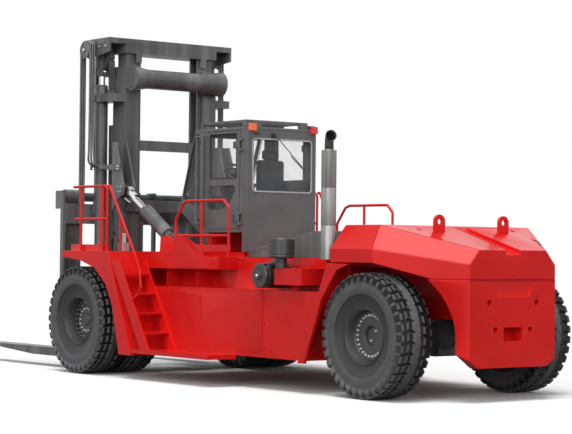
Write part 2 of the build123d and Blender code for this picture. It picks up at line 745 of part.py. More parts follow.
DRUM_X, DRUM_Y, DRUM_R = FRONT_X - 4510, 1560, 175
CANISTER_X, CANISTER_Z, CANISTER_R = FRONT_X - 4110, 1525, 165
BOX_REAR, BOX_FRONT, BOX_Z = FRONT_X - 4980, FRONT_X - 4400, (1410, 1630)
with BuildPart() as air_cleaner:
    # precleaner drum on its stack, and the filter canister that it feeds
    rod((DRUM_X, DRUM_Y, 1760), (DRUM_X, DRUM_Y, 2025), DRUM_R)
    rod((DRUM_X, DRUM_Y, BOX_Z[1] + SEAT), (DRUM_X, DRUM_Y, 1760), 75)
    rod((CANISTER_X, CORE_Y + SEAT, CANISTER_Z), (CANISTER_X, 1630, CANISTER_Z), CANISTER_R)
    rod((CANISTER_X, 1630, CANISTER_Z), (CANISTER_X, 1655, CANISTER_Z), 60)
    rod((DRUM_X, DRUM_Y - 90, 1740), (CANISTER_X - 60, DRUM_Y - 90, 1645), 60)
save(air_cleaner, "air_cleaner")

with BuildPart() as cleaner_box:
    block(BOX_REAR, BOX_FRONT, CORE_Y + SEAT, DRUM_Y + 30, *BOX_Z)
save(cleaner_box, "cleaner_box")

# ------------------------------------------------------------------ cab
CAB_TOP_FRONT = 1150
CAB_NOSE = 800
CAB_NOSE_Z = 2600
CAB_CHIN = 1280
CAB_FLOOR_TOP_Z = CAB_FLOOR_Z + CAB_STEP + CAB_WALL
SIDE_OUTLINE = [
    (FRONT_X - CAB_CHIN, CAB_FLOOR_Z + CAB_STEP),
    (FRONT_X - CAB_NOSE - 30, CAB_FLOOR_Z + 570),
    (FRONT_X - CAB_NOSE, CAB_NOSE_Z),
    (FRONT_X - CAB_TOP_FRONT, CAB_ROOF_Z),
    (FRONT_X - CAB_REAR, CAB_ROOF_Z),
    (FRONT_X - CAB_REAR, CAB_FLOOR_Z),
    (FRONT_X - 2350, CAB_FLOOR_Z),
    (FRONT_X - 2350, CAB_FLOOR_Z + CAB_STEP),
]
DOOR_FRONT, DOOR_REAR = 1470, 2290
DOOR_LOW, DOOR_TOP = 2165, 3595
HINGE_Z = (2320, 3380)
HINGE_H = 110
HINGE_PIN_R = 9
HINGE_X = FRONT_X - DOOR_REAR + GAP / 2
HINGE_Y = CAB_HALF + 22
QUARTER_WINDOW = [
    (FRONT_X - 1000, 2545),
    (FRONT_X - CAB_NOSE - 60, 2625),
    (FRONT_X - CAB_NOSE - 55, 2720),
    (FRONT_X - 1145, 3575),
    (FRONT_X - 1275, 3575),
    (FRONT_X - 1275, 2500),
]
REAR_WINDOW = (545, 2700, 3480)  # half width, sill, top
with BuildPart() as cab_shell:
    side_panel(SIDE_OUTLINE, -CAB_HALF, CAB_HALF)
    with BuildSketch(Plane.XZ.offset(-(CAB_HALF - CAB_WALL))):
        with BuildLine():
            Polyline(*SIDE_OUTLINE, close=True)
        make_face()
        offset(amount=-CAB_WALL, mode=Mode.REPLACE)
    extrude(amount=2 * (CAB_HALF - CAB_WALL), mode=Mode.SUBTRACT)
    for _, s in SIDES:
        wall = s * (CAB_HALF - CAB_WALL), s * CAB_HALF
        # doorway
        block(FRONT_X - DOOR_REAR, FRONT_X - DOOR_FRONT, *wall, DOOR_LOW, DOOR_TOP, mode=Mode.SUBTRACT)
        # front quarter window
        side_panel(QUARTER_WINDOW, *wall, mode=Mode.SUBTRACT)
    # rear window with rounded corners
    with BuildSketch(Plane.YZ.offset(FRONT_X - CAB_REAR)):
        with Locations((0, (REAR_WINDOW[1] + REAR_WINDOW[2]) / 2)):
            RectangleRounded(2 * REAR_WINDOW[0], REAR_WINDOW[2] - REAR_WINDOW[1], 50)
    extrude(amount=CAB_WALL, mode=Mode.SUBTRACT)
    # windscreen, upper and lower
    block(FRONT_X - 1250, FRONT_X - CAB_NOSE, -560, 560, 2680, 3540, mode=Mode.SUBTRACT)
    # roof window
    block(FRONT_X - 1900, FRONT_X - 1300, -480, 480, CAB_ROOF_Z - CAB_WALL, CAB_ROOF_Z, mode=Mode.SUBTRACT)

GRAB_X, GRAB_Z, GRAB_R = (1295, 1440), (2250, 3530), 18
FLOOR_JOINT = Plane.XY.offset(DOOR_LOW)
ROOF_JOINT = Plane.XY.offset(DOOR_TOP)
MIDDLE = Plane.YZ.offset(FRONT_X - (DOOR_FRONT + DOOR_REAR) / 2)
with BuildPart() as cab_floor:
    add(cab_shell.part)
    split(bisect_by=FLOOR_JOINT, keep=Keep.BOTTOM)
save(cab_floor, "cab_floor")

with BuildPart() as cab_roof:
    add(cab_shell.part)
    split(bisect_by=ROOF_JOINT, keep=Keep.TOP)
save(cab_roof, "cab_roof")

with BuildPart() as cab_front:
    add(cab_shell.part)
    split(bisect_by=FLOOR_JOINT, keep=Keep.TOP)
    split(bisect_by=ROOF_JOINT, keep=Keep.BOTTOM)
    split(bisect_by=MIDDLE, keep=Keep.TOP)
    # tall grab rails beside the doors
    for _, s in SIDES:
        grab_y = s * (CAB_HALF + 75)
        for z in (GRAB_Z[0] + 60, GRAB_Z[1] - 60):
            rod((FRONT_X - GRAB_X[0], s * CAB_HALF, z), (FRONT_X - GRAB_X[0], grab_y, z), GRAB_R - 5)
        bar(
            [
                (FRONT_X - GRAB_X[0], grab_y, GRAB_Z[0]),
                (FRONT_X - GRAB_X[0], grab_y, GRAB_Z[1]),
                (FRONT_X - GRAB_X[1], grab_y, GRAB_Z[1]),
                (FRONT_X - GRAB_X[1], grab_y, GRAB_Z[0]),
                (FRONT_X - GRAB_X[0], grab_y, GRAB_Z[0]),
            ],
            GRAB_R,
        )
save(cab_front, "cab_front")

with BuildPart() as cab_rear:
    add(cab_shell.part)
    split(bisect_by=FLOOR_JOINT, keep=Keep.TOP)
    split(bisect_by=ROOF_JOINT, keep=Keep.BOTTOM)
    split(bisect_by=MIDDLE, keep=Keep.BOTTOM)
    for _, s in SIDES:
        # ears and pins of the door hinges
        for z in HINGE_Z:
            for z0 in (z - HINGE_H / 2 - 40, z + HINGE_H / 2 + SEAT):
                z1 = z0 + 40 - SEAT
                block(HINGE_X - 70, HINGE_X - 10, s * CAB_HALF, s * (HINGE_Y + 12), z0, z1)
                block(HINGE_X - 10, HINGE_X + 12, s * (HINGE_Y - 12), s * (HINGE_Y + 12), z0, z1)
            pin = HINGE_X, s * HINGE_Y
            rod((*pin, z - HINGE_H), (*pin, z + HINGE_H), HINGE_PIN_R)
save(cab_rear, "cab_rear")

DOOR_IN_Y, DOOR_OUT_Y = CAB_HALF - 35, CAB_HALF + 5
UPPER_PANE = [(FRONT_X - 2215, 2900), (FRONT_X - 2215, 3560), (FRONT_X - 1545, 3560), (FRONT_X - 1545, 2900)]
for side, s in SIDES:
    with BuildPart() as door:
        y0, y1 = s * DOOR_IN_Y, s * DOOR_OUT_Y
        block(
            FRONT_X - DOOR_REAR + GAP, FRONT_X - DOOR_FRONT - GAP, y0, y1,
            DOOR_LOW + GAP, DOOR_TOP - GAP,
        )
        side_panel(UPPER_PANE, y0, y1, mode=Mode.SUBTRACT)
        # lower window, with its swept rear corner
        with BuildSketch(Plane.XZ.offset(-max(y0, y1))):
            with BuildLine():
                Polyline((FRONT_X - 2180, 2730), (FRONT_X - 2150, 2800), (FRONT_X - 1545, 2800))
                Polyline((FRONT_X - 1545, 2800), (FRONT_X - 1545, 2450), (FRONT_X - 1700, 2450))
                ThreePointArc((FRONT_X - 1700, 2450), (FRONT_X - 2020, 2535), (FRONT_X - 2180, 2730))
            make_face()
        extrude(amount=abs(y1 - y0), mode=Mode.SUBTRACT)
        # pull handle
        block(FRONT_X - 1535, FRONT_X - 1505, y1, y1 + s * 30, 2600, 2780)
        for z in HINGE_Z:
            pin = HINGE_X, s * HINGE_Y
            z0, z1 = z - HINGE_H / 2, z + HINGE_H / 2
            rod((*pin, z0), (*pin, z1), HINGE_PIN_R + 7)
            block(HINGE_X, HINGE_X + 90, y1, s * (HINGE_Y + 8), z0, z1)
            rod((*pin, z0), (*pin, z1), HINGE_PIN_R + SEAT, mode=Mode.SUBTRACT)
    save(door, f"door_{side}")
    with BuildPart() as door_glass:
        # panes clipped to the inner face of the door
        pane = y0 - s * SEAT, y0 - s * (SEAT + GLASS_T)
        block(FRONT_X - 2235, FRONT_X - 1525, *pane, 2880, 3575)
        block(FRONT_X - 2200, FRONT_X - 1525, *pane, 2430, 2820)
    save(door_glass, f"door_glass_{side}")

with BuildPart() as cab_glass:
    # panes bonded inside the quarter windows, the rear window, the windscreen and the roof
    for _, s in SIDES:
        y0 = s * (CAB_HALF - CAB_WALL - SEAT)
        side_panel(
            [
                (FRONT_X - 1300, 2440),
                (FRONT_X - CAB_NOSE - 72, 2570),
                (FRONT_X - CAB_NOSE - 96, 2720),
                (FRONT_X - CAB_TOP_FRONT - 42, 3585),
                (FRONT_X - 1300, 3585),
            ],
            y0,
            y0 - s * GLASS_T,
        )
    rear_x = FRONT_X - CAB_REAR + CAB_WALL + SEAT
    block(rear_x, rear_x + GLASS_T, -560, 560, 2680, 3500)
    lean = Vector(CAB_NOSE - CAB_TOP_FRONT, 0, CAB_ROOF_Z - CAB_NOSE_Z).normalized()
    inward = Vector(-lean.Z, 0, lean.X)
    foot = Vector(FRONT_X - CAB_NOSE, 0, CAB_NOSE_Z) + lean * 60 + inward * (CAB_WALL + SEAT)
    head = Vector(FRONT_X - CAB_NOSE, 0, CAB_NOSE_Z) + lean * 1010 + inward * (CAB_WALL + SEAT)
    side_panel(
        [
            (foot.X, foot.Z),
            (head.X, head.Z),
            (head.X + inward.X * GLASS_T, head.Z + inward.Z * GLASS_T),
            (foot.X + inward.X * GLASS_T, foot.Z + inward.Z * GLASS_T),
        ],
        -562,
        562,
    )
    roof_z = CAB_ROOF_Z - CAB_WALL - SEAT
    block(FRONT_X - 1920, FRONT_X - 1280, -500, 500, roof_z - GLASS_T, roof_z)
save(cab_glass, "cab_glass")

with BuildPart() as seat:
    block(FRONT_X - 2150, FRONT_X - 1700, -240, 240, CAB_FLOOR_TOP_Z + SEAT, 2600)
    block(FRONT_X - 2250, FRONT_X - 2130, -240, 240, 2600, 3250)
save(seat, "seat")

with BuildPart() as console:
    side_panel(
        [
            (FRONT_X - 1420, CAB_FLOOR_TOP_Z + SEAT),
            (FRONT_X - 1300, CAB_FLOOR_TOP_Z + SEAT),
            (FRONT_X - 1180, 2330),
            (FRONT_X - 1080, 2880),
            (FRONT_X - 1180, 2880),
            (FRONT_X - 1280, 2330),
        ],
        -110,
        110,
    )
    rod((FRONT_X - 1120, 0, 2860), (FRONT_X - 1330, 0, 2990), 20)
    with BuildSketch(Plane(origin=(FRONT_X - 1330, 0, 2990), x_dir=(0, 1, 0), z_dir=(-0.85, 0, 0.53))):
        RegularPolygon(195, 20)
        RegularPolygon(168, 20, mode=Mode.SUBTRACT)
        Rectangle(350, 36)
    extrude(amount=24)
save(console, "steering_console")

GUARD_BARS = 9
with BuildPart() as roof:
    # grating over the roof, on four feet
    for n in range(GUARD_BARS):
        y = -520 + n * 1040 / (GUARD_BARS - 1)
        block(FRONT_X - 2280, FRONT_X - 1250, y - 12, y + 12, CAB_ROOF_Z + 75, CAB_ROOF_Z + 110)
    for x in (-2300, -1765, -1230):
        block(FRONT_X + x - 20, FRONT_X + x + 20, -560, 560, CAB_ROOF_Z + 60, CAB_ROOF_Z + 110)
    for x in (-2300, -1230):
        for _, s in SIDES:
            block(FRONT_X + x - 20, FRONT_X + x + 20, s * 500, s * 560, CAB_ROOF_Z + SEAT, CAB_ROOF_Z + 60)
save(roof, "roof_guard")

LAMP_X = FRONT_X - CAB_REAR
with BuildPart() as lamp_brackets:
    for _, s in SIDES:
        block(LAMP_X + 20, LAMP_X + 140, s * 520, s * 620, CAB_ROOF_Z + SEAT, CAB_ROOF_Z + 60)
        # work lamp beside it, looking back
        block(LAMP_X + 10, LAMP_X + 110, s * 360, s * 470, CAB_ROOF_Z + SEAT, CAB_ROOF_Z + 95)
save(lamp_brackets, "lamp_brackets")
for side, s, colour in (("left", 1, "orange"), ("right", -1, "red")):
    with BuildPart() as lamp:
        block(LAMP_X - 45, LAMP_X - SEAT, s * 500, s * 620, CAB_ROOF_Z - 60, CAB_ROOF_Z + 45)
    save(lamp, f"{colour}_lamps")

# ------------------------------------------------------------------ mast
CYL_SHELF_Z = (1660, 1700)
CYL_CLAMP_Z = (OUTER_MAST_TOP_Z - 560, OUTER_MAST_TOP_Z - 440)
BARREL_TOP_Z = CYL_CLAMP_Z[1] + 100
SHEAVE_X, SHEAVE_Z = CYL_X, CROSSHEAD_TOP_Z - 305
CHAIN_Y, CHAIN_HALF_W = 950, 50
CHAIN_IN_R, CHAIN_OUT_R = 175 + SEAT, 213  # inside and outside of the chain on its sheave
CHAIN_POST_Z = CYL_CLAMP_Z[1] + 80
CHAIN_LUG_Z = 2620
with BuildPart() as outer_mast:
    for _, s in SIDES:
        z0, z1 = OUTER_MAST_BASE_Z, OUTER_MAST_TOP_Z
        block(MAST_X, MAST_FRONT_X, s * (MAST_OUTER_Y - RAIL_WEB), s * MAST_OUTER_Y, z0, z1)
        block(MAST_X, MAST_X + RAIL_FLANGE, s * MAST_INNER_Y, s * MAST_OUTER_Y, z0, z1)
        block(MAST_FRONT_X - RAIL_FLANGE, MAST_FRONT_X, s * MAST_INNER_Y, s * MAST_OUTER_Y, z0, z1)
        # feet that hang on the pivot pins
        foot_x, foot_z = FRONT_X + MAST_PIVOT[0], MAST_PIVOT[1]
        side_panel(
            [
                (foot_x, foot_z - 95),
                (foot_x, foot_z + 95),
                (MAST_X, foot_z + 350),
                (MAST_X, foot_z - 250),
            ],
            s * 620,
            s * 690,
        )
        rod((foot_x, s * 620, foot_z), (foot_x, s * 690, foot_z), 95)
        rod((foot_x, s * 620, foot_z), (foot_x, s * 690, foot_z), PIN_R + 1, mode=Mode.SUBTRACT)
        # lift cylinder seats: a shelf under the barrel and a clamp round its head
        block(MAST_X, CYL_X + CYL_R, s * (MAST_OUTER_Y - 20), s * (CYL_Y + CYL_R), *CYL_SHELF_Z)
        block(MAST_X, CYL_X + CYL_R + 25, s * (MAST_OUTER_Y - 20), s * (CYL_Y + CYL_R + 35), *CYL_CLAMP_Z)
        rod(
            (CYL_X, s * CYL_Y, CYL_CLAMP_Z[0]), (CYL_X, s * CYL_Y, CYL_CLAMP_Z[1]), CYL_R + SEAT,
            mode=Mode.SUBTRACT,
        )
        # post that the lift chain is anchored to
        block(
            SHEAVE_X - CHAIN_OUT_R, SHEAVE_X - CHAIN_IN_R, s * (CHAIN_Y - 55), s * (CHAIN_Y + 55),
            CYL_CLAMP_Z[1], CHAIN_POST_Z,
        )
    block(MAST_X - 60, MAST_X, -MAST_OUTER_Y, MAST_OUTER_Y, 2440, 2620)
    block(MAST_X - 60, MAST_X, -MAST_OUTER_Y, MAST_OUTER_Y, 1250, 1500)
    block(MAST_X - 60, MAST_X, -MAST_OUTER_Y, MAST_OUTER_Y, OUTER_MAST_BASE_Z, 480)
save(outer_mast, "outer_mast")

TOP_TUBE_X, TOP_TUBE_Z = MAST_X - 140, OUTER_MAST_TOP_Z - 200
TOP_TUBE_R, BELL_R, BELL_IN_Y = 150, 200, 560
with BuildPart() as mast_top_tube:
    rod((TOP_TUBE_X, -BELL_IN_Y, TOP_TUBE_Z), (TOP_TUBE_X, BELL_IN_Y, TOP_TUBE_Z), TOP_TUBE_R)
    for _, s in SIDES:
        with BuildSketch(Plane.XZ.offset(-s * (MAST_OUTER_Y - 10))):
            with Locations((TOP_TUBE_X, TOP_TUBE_Z)):
                Circle(BELL_R)
        with BuildSketch(Plane.XZ.offset(-s * BELL_IN_Y)):
            with Locations((TOP_TUBE_X, TOP_TUBE_Z)):
                Circle(TOP_TUBE_R)
        loft()
        block(
            TOP_TUBE_X, MAST_X, s * BELL_IN_Y, s * MAST_OUTER_Y,
            TOP_TUBE_Z - TOP_TUBE_R, TOP_TUBE_Z + TOP_TUBE_R,
        )
    split(bisect_by=Plane.YZ.offset(MAST_X), keep=Keep.BOTTOM)
save(mast_top_tube, "mast_top_tube")

BRACKET_IN_Y, BRACKET_OUT_Y, BRACKET_T = MAST_OUTER_Y, TILT_Y + 75, 30
BRACKET_TOP_Z, HOSE_ARM_Z = TILT_HEAD[1] + 720, TILT_HEAD[1] + 290
head_x, head_z = FRONT_X + TILT_HEAD[0], TILT_HEAD[1]
with BuildPart() as tilt_brackets:
    for _, s in SIDES:
        for y in (BRACKET_IN_Y, BRACKET_OUT_Y):
            side_panel(
                [
                    (MAST_X, BRACKET_TOP_Z),
                    (MAST_X, head_z - 330),
                    (head_x + 40, head_z - 140),
                    (head_x - 80, head_z - 90),
                    (head_x - 120, head_z + 30),
                    (head_x - 70, head_z + 130),
                    (MAST_X - 90, BRACKET_TOP_Z),
                ],
                s * y,
                s * (y + BRACKET_T),
            )
        block(
            MAST_X - 40, MAST_X, s * (BRACKET_IN_Y - 40), s * (BRACKET_OUT_Y + BRACKET_T),
            head_z - 140, BRACKET_TOP_Z,
        )
        rod(
            (head_x, s * BRACKET_IN_Y, head_z),
            (head_x, s * (BRACKET_OUT_Y + BRACKET_T + 12), head_z),
            TILT_PIN_R,
        )
        # boss of the pin, and the arm that holds the hoses clear of the lift cylinder
        rod(
            (head_x, s * (BRACKET_OUT_Y + BRACKET_T), head_z),
            (head_x, s * (BRACKET_OUT_Y + BRACKET_T + 12), head_z),
            78,
        )
        side_panel(
            [
                (MAST_X - 300, HOSE_ARM_Z + 90),
                (MAST_X - 270, HOSE_ARM_Z - 20),
                (MAST_X + 560, HOSE_ARM_Z + 60),
                (MAST_X + 560, HOSE_ARM_Z + 90),
            ],
            s * (CYL_Y + CYL_R + 10),
            s * (CYL_Y + CYL_R + 30),
        )
        block(
            MAST_X - 120, MAST_X, s * BRACKET_OUT_Y, s * (CYL_Y + CYL_R + 12),
            HOSE_ARM_Z + 10, HOSE_ARM_Z + 90,
        )
save(tilt_brackets, "tilt_brackets")

BARREL_BORE_R = 70
ROD_FOOT_Z = CYL_SHELF_Z[1] + 160
YOKE_Z = (CROSSHEAD_TOP_Z - 575, CROSSHEAD_TOP_Z - 505)  # block that the rod pushes on
with BuildPart() as lift_barrels:
    for _, s in SIDES:
        rod((CYL_X, s * CYL_Y, CYL_SHELF_Z[1] + SEAT), (CYL_X, s * CYL_Y, BARREL_TOP_Z), CYL_R)
        rod(
            (CYL_X, s * CYL_Y, CYL_SHELF_Z[1] + 60), (CYL_X, s * CYL_Y, BARREL_TOP_Z - 70), BARREL_BORE_R,
            mode=Mode.SUBTRACT,
        )
        rod(
            (CYL_X, s * CYL_Y, BARREL_TOP_Z - 70), (CYL_X, s * CYL_Y, BARREL_TOP_Z), ROD_R + SEAT,
            mode=Mode.SUBTRACT,
        )
save(lift_barrels, "lift_barrels")

with BuildPart() as lift_rods:
    for _, s in SIDES:
        rod((CYL_X, s * CYL_Y, ROD_FOOT_Z), (CYL_X, s * CYL_Y, YOKE_Z[0] - SEAT), ROD_R)
        rod((CYL_X, s * CYL_Y, ROD_FOOT_Z), (CYL_X, s * CYL_Y, ROD_FOOT_Z + 100), BARREL_BORE_R - SEAT)
save(lift_rods, "lift_rods")

INNER_X0 = MAST_X + RAIL_FLANGE + GAP
INNER_X1 = MAST_FRONT_X - RAIL_FLANGE - GAP
INNER_OUT_Y = MAST_OUTER_Y - RAIL_WEB - GAP
INNER_IN_Y = MAST_INNER_Y - 60
YOKE_IN_Y, YOKE_OUT_Y = CHAIN_Y - CHAIN_HALF_W - 35, CYL_Y + ROD_R + 5
SHEAVE_PIN_R = 30
CROSSHEAD_ROOF_Z = CROSSHEAD_TOP_Z - 85
HOSE_SHEAVE_X, HOSE_SHEAVE_Z, HOSE_SHEAVE_R = FRONT_X + 925, CROSSHEAD_TOP_Z - 175, 118
HOSE_SHEAVE_OUT_Y = CROSSHEAD_HALF + 135
with BuildPart() as inner_mast:
    for _, s in SIDES:
        z0, z1 = INNER_MAST_BASE_Z, CROSSHEAD_TOP_Z - CROSSHEAD_H
        block(INNER_X0, INNER_X1, s * (INNER_OUT_Y - 45), s * INNER_OUT_Y, z0, z1)
        block(INNER_X0, INNER_X0 + 42, s * INNER_IN_Y, s * INNER_OUT_Y, z0, z1)
        block(INNER_X1 - 42, INNER_X1, s * INNER_IN_Y, s * INNER_OUT_Y, z0, z1)
        # roof plate over the chain sheave, and the yoke that hangs from it
        block(MAST_X, SHEAVE_X + 260, s * YOKE_IN_Y, s * CROSSHEAD_HALF, CROSSHEAD_ROOF_Z, CROSSHEAD_TOP_Z)
        block(SHEAVE_X - 70, SHEAVE_X + 70, s * YOKE_IN_Y, s * YOKE_OUT_Y, *YOKE_Z)
        for y0, y1 in ((YOKE_IN_Y, YOKE_IN_Y + 20), (YOKE_OUT_Y - 30, YOKE_OUT_Y)):
            side_panel(
                [
                    (SHEAVE_X - 70, YOKE_Z[0]),
                    (SHEAVE_X - 110, CROSSHEAD_ROOF_Z + 10),
                    (SHEAVE_X + 110, CROSSHEAD_ROOF_Z + 10),
                    (SHEAVE_X + 70, YOKE_Z[0]),
                ],
                s * y0,
                s * y1,
            )
        rod((SHEAVE_X, s * YOKE_IN_Y, SHEAVE_Z), (SHEAVE_X, s * YOKE_OUT_Y, SHEAVE_Z), SHEAVE_PIN_R)
        # end plate with the pin of the hose sheave
        side_panel(
            [
                (MAST_X, CROSSHEAD_TOP_Z - CROSSHEAD_H),
                (MAST_X, CROSSHEAD_TOP_Z),
                (SHEAVE_X + 260, CROSSHEAD_TOP_Z),
                (SHEAVE_X + 260, CROSSHEAD_TOP_Z - 90),
                (HOSE_SHEAVE_X + 60, CROSSHEAD_TOP_Z - CROSSHEAD_H - 50),
                (HOSE_SHEAVE_X - 120, CROSSHEAD_TOP_Z - CROSSHEAD_H - 50),
            ],
            s * (CROSSHEAD_HALF - 30),
            s * CROSSHEAD_HALF,
        )
        rod(
            (HOSE_SHEAVE_X, s * (CROSSHEAD_HALF - 30), HOSE_SHEAVE_Z),
            (HOSE_SHEAVE_X, s * (HOSE_SHEAVE_OUT_Y + 12), HOSE_SHEAVE_Z),
            SHEAVE_PIN_R,
        )
        # stop block under the crosshead
        block(MAST_X, MAST_X + 30, s * 560, s * 660, CROSSHEAD_TOP_Z - 365, CROSSHEAD_TOP_Z - CROSSHEAD_H)
        # rollers that bear on the outer rails
        for z in (INNER_MAST_BASE_Z + 130, 1200):
            rod(
                ((INNER_X0 + INNER_X1) / 2, s * (INNER_OUT_Y - 45), z),
                ((INNER_X0 + INNER_X1) / 2, s * INNER_OUT_Y, z),
                (INNER_X1 - INNER_X0) / 2 + GAP - SEAT,
            )
    block(MAST_X, MAST_X + 420, -YOKE_IN_Y, YOKE_IN_Y, CROSSHEAD_TOP_Z - CROSSHEAD_H, CROSSHEAD_TOP_Z)
    block(INNER_X0, INNER_X0 + 42, -INNER_IN_Y, INNER_IN_Y, 3400, 3560)
    block(INNER_X0, INNER_X0 + 42, -INNER_IN_Y, INNER_IN_Y, INNER_MAST_BASE_Z, 520)
save(inner_mast, "inner_mast")

SHEAVE_IN_Y, SHEAVE_OUT_Y = YOKE_IN_Y + 20 + GAP, YOKE_OUT_Y - 30 - GAP
ARC_STEPS = 8  # flat lengths of chain over the top of a sheave
with BuildPart() as sheaves:
    for _, s in SIDES:
        rod((SHEAVE_X, s * SHEAVE_IN_Y, SHEAVE_Z), (SHEAVE_X, s * SHEAVE_OUT_Y, SHEAVE_Z), CHAIN_IN_R - SEAT)
        # the chain's turn over the sheave
        outer_arc = [
            (SHEAVE_X + CHAIN_OUT_R * cos(turn), SHEAVE_Z + CHAIN_OUT_R * sin(turn))
            for turn in [n * pi / ARC_STEPS for n in range(ARC_STEPS + 1)]
        ]
        side_panel(
            outer_arc + [(SHEAVE_X - CHAIN_IN_R, SHEAVE_Z), (SHEAVE_X + CHAIN_IN_R, SHEAVE_Z)],
            s * (CHAIN_Y - CHAIN_HALF_W),
            s * (CHAIN_Y + CHAIN_HALF_W),
        )
        rod(
            (SHEAVE_X, s * SHEAVE_IN_Y, SHEAVE_Z), (SHEAVE_X, s * SHEAVE_OUT_Y, SHEAVE_Z),
            SHEAVE_PIN_R + SEAT,
            mode=Mode.SUBTRACT,
        )
        # hose sheave: two flanges and the drum between them
        spin_about_axle(
            [
                (SHEAVE_PIN_R + SEAT, s * (CROSSHEAD_HALF + GAP)),
                (HOSE_SHEAVE_R + 17, s * (CROSSHEAD_HALF + GAP)),
                (HOSE_SHEAVE_R + 17, s * (CROSSHEAD_HALF + 25)),
                (HOSE_SHEAVE_R, s * (CROSSHEAD_HALF + 30)),
                (HOSE_SHEAVE_R, s * (HOSE_SHEAVE_OUT_Y - 22)),
                (HOSE_SHEAVE_R + 17, s * (HOSE_SHEAVE_OUT_Y - 17)),
                (HOSE_SHEAVE_R + 17, s * HOSE_SHEAVE_OUT_Y),
                (SHEAVE_PIN_R + SEAT, s * HOSE_SHEAVE_OUT_Y),
            ],
            HOSE_SHEAVE_X,
            HOSE_SHEAVE_Z,
        )
save(sheaves, "sheaves")

LINK_PITCH = 60


def chain_run(front, back, z0, z1, y):
    """One straight run of leaf chain, its back ribbed by the ends of its links."""
    links = round((z1 - z0) / LINK_PITCH)
    pitch = (z1 - z0) / links
    points = [(front, z1), (front, z0)]
    for n in range(links):
        low = z0 + n * pitch
        points += [(back, low), (back, low + pitch * 0.55), (back + 8, low + pitch * 0.62)]
    points.append((back + 8, z1))
    side_panel(points, y - CHAIN_HALF_W, y + CHAIN_HALF_W)


with BuildPart() as rear_chains:
    for _, s in SIDES:
        chain_run(
            SHEAVE_X - CHAIN_IN_R, SHEAVE_X - CHAIN_OUT_R, CHAIN_POST_Z + SEAT, SHEAVE_Z - SEAT,
            s * CHAIN_Y,
        )
save(rear_chains, "rear_chains")

with BuildPart() as front_chains:
    for _, s in SIDES:
        block(
            SHEAVE_X + CHAIN_IN_R, SHEAVE_X + CHAIN_OUT_R,
            s * (CHAIN_Y - CHAIN_HALF_W), s * (CHAIN_Y + CHAIN_HALF_W),
            CHAIN_LUG_Z + SEAT, SHEAVE_Z - SEAT,
        )
save(front_chains, "front_chains")

# ------------------------------------------------------------------ carriage
SHAFT_X, SHAFT_Z, SHAFT_R = FRONT_X + 1210, 2670, 70
CARRIAGE_HALF = 1560
PLATE_X = (FRONT_X + 1060, FRONT_X + 1140)
with BuildPart() as carriage:
    for _, s in SIDES:
        # lugs behind the top plate that the lift chains pull on
        block(
            PLATE_X[0] - 40, SHEAVE_X + CHAIN_OUT_R + 5, s * (CHAIN_Y - 60), s * (CHAIN_Y + 60),
            2400, CHAIN_LUG_Z,
        )
        # side arms that run inside the inner mast
        block(INNER_X0 + 42 + GAP, INNER_X1 - 42 - GAP, s * 430, s * (INNER_IN_Y + 60), 560, 2300)
        # rollers that bear on the inner rails
        for z in (720, 1400, 2140):
            rod(
                ((INNER_X0 + INNER_X1) / 2, s * (INNER_IN_Y + 60), z),
                ((INNER_X0 + INNER_X1) / 2, s * (INNER_OUT_Y - 45 - GAP), z),
                (INNER_X1 - INNER_X0) / 2 - 42 - SEAT,
            )
        block(INNER_X0 + 42 + GAP, FRONT_X + 1140, s * 430, s * (INNER_IN_Y - GAP), 560, 2300)
    block(*PLATE_X, -CARRIAGE_HALF, CARRIAGE_HALF, 2250, 2560)
    block(*PLATE_X, -CARRIAGE_HALF, CARRIAGE_HALF, 420, 760)
    for y in (-CARRIAGE_HALF, -170, 130, CARRIAGE_HALF - 40):
        block(*PLATE_X, y, y + 40, 420, 2560)
        block(FRONT_X + 1060, FRONT_X + 1290, y, y + 40, 2480, 2760)
    rod((SHAFT_X, -CARRIAGE_HALF, SHAFT_Z), (SHAFT_X, CARRIAGE_HALF, SHAFT_Z), SHAFT_R)
save(carriage, "carriage")

FORK_W, FORK_T, FORK_Z = 300, 120, 175
FORK_TOP_Z = 305
FORK_Y = CARRIAGE_HALF - 260
FORK_EYE_R = 115
for side, s in SIDES:
    with BuildPart() as fork:
        back_low = FORK_X - FORK_T
        back_high = PLATE_X[1] + GAP
        side_panel(
            [
                (back_high, SHAFT_Z),
                (back_high, 2250),
                (back_low, 2000),
                (back_low, FORK_Z + 60),
                (back_low + 60, FORK_Z),
                (FORK_X + FORK_LENGTH * 0.35, FORK_Z),
                (FORK_X + FORK_LENGTH, FORK_TOP_Z - 30),
                (FORK_X + FORK_LENGTH, FORK_TOP_Z),
                (FORK_X + 20, FORK_TOP_Z),
                (FORK_X, FORK_TOP_Z + 20),
                (FORK_X, 1950),
                (FRONT_X + 1290, 2250),
                (FRONT_X + 1290, SHAFT_Z),
            ],
            s * (FORK_Y - FORK_W / 2),
            s * (FORK_Y + FORK_W / 2),
        )
        eye = (SHAFT_X, s * (FORK_Y - FORK_W / 2), SHAFT_Z), (SHAFT_X, s * (FORK_Y + FORK_W / 2), SHAFT_Z)
        rod(*eye, FORK_EYE_R)
        rod(*eye, SHAFT_R + 1, mode=Mode.SUBTRACT)
    save(fork, f"fork_{side}")

# ------------------------------------------------------------------ tilt cylinders
dx, dz = TILT_HEAD[0] - TILT_BASE[0], TILT_HEAD[1] - TILT_BASE[1]
TILT_SPAN = hypot(dx, dz)
ux, uz = dx / TILT_SPAN, dz / TILT_SPAN
TILT_ROD_R = 55


def tilt_point(distance, s):
    """A point on a tilt cylinder's centre line, measured from its base pin."""
    return (FRONT_X + TILT_BASE[0] + ux * distance, s * TILT_Y, TILT_BASE[1] + uz * distance)


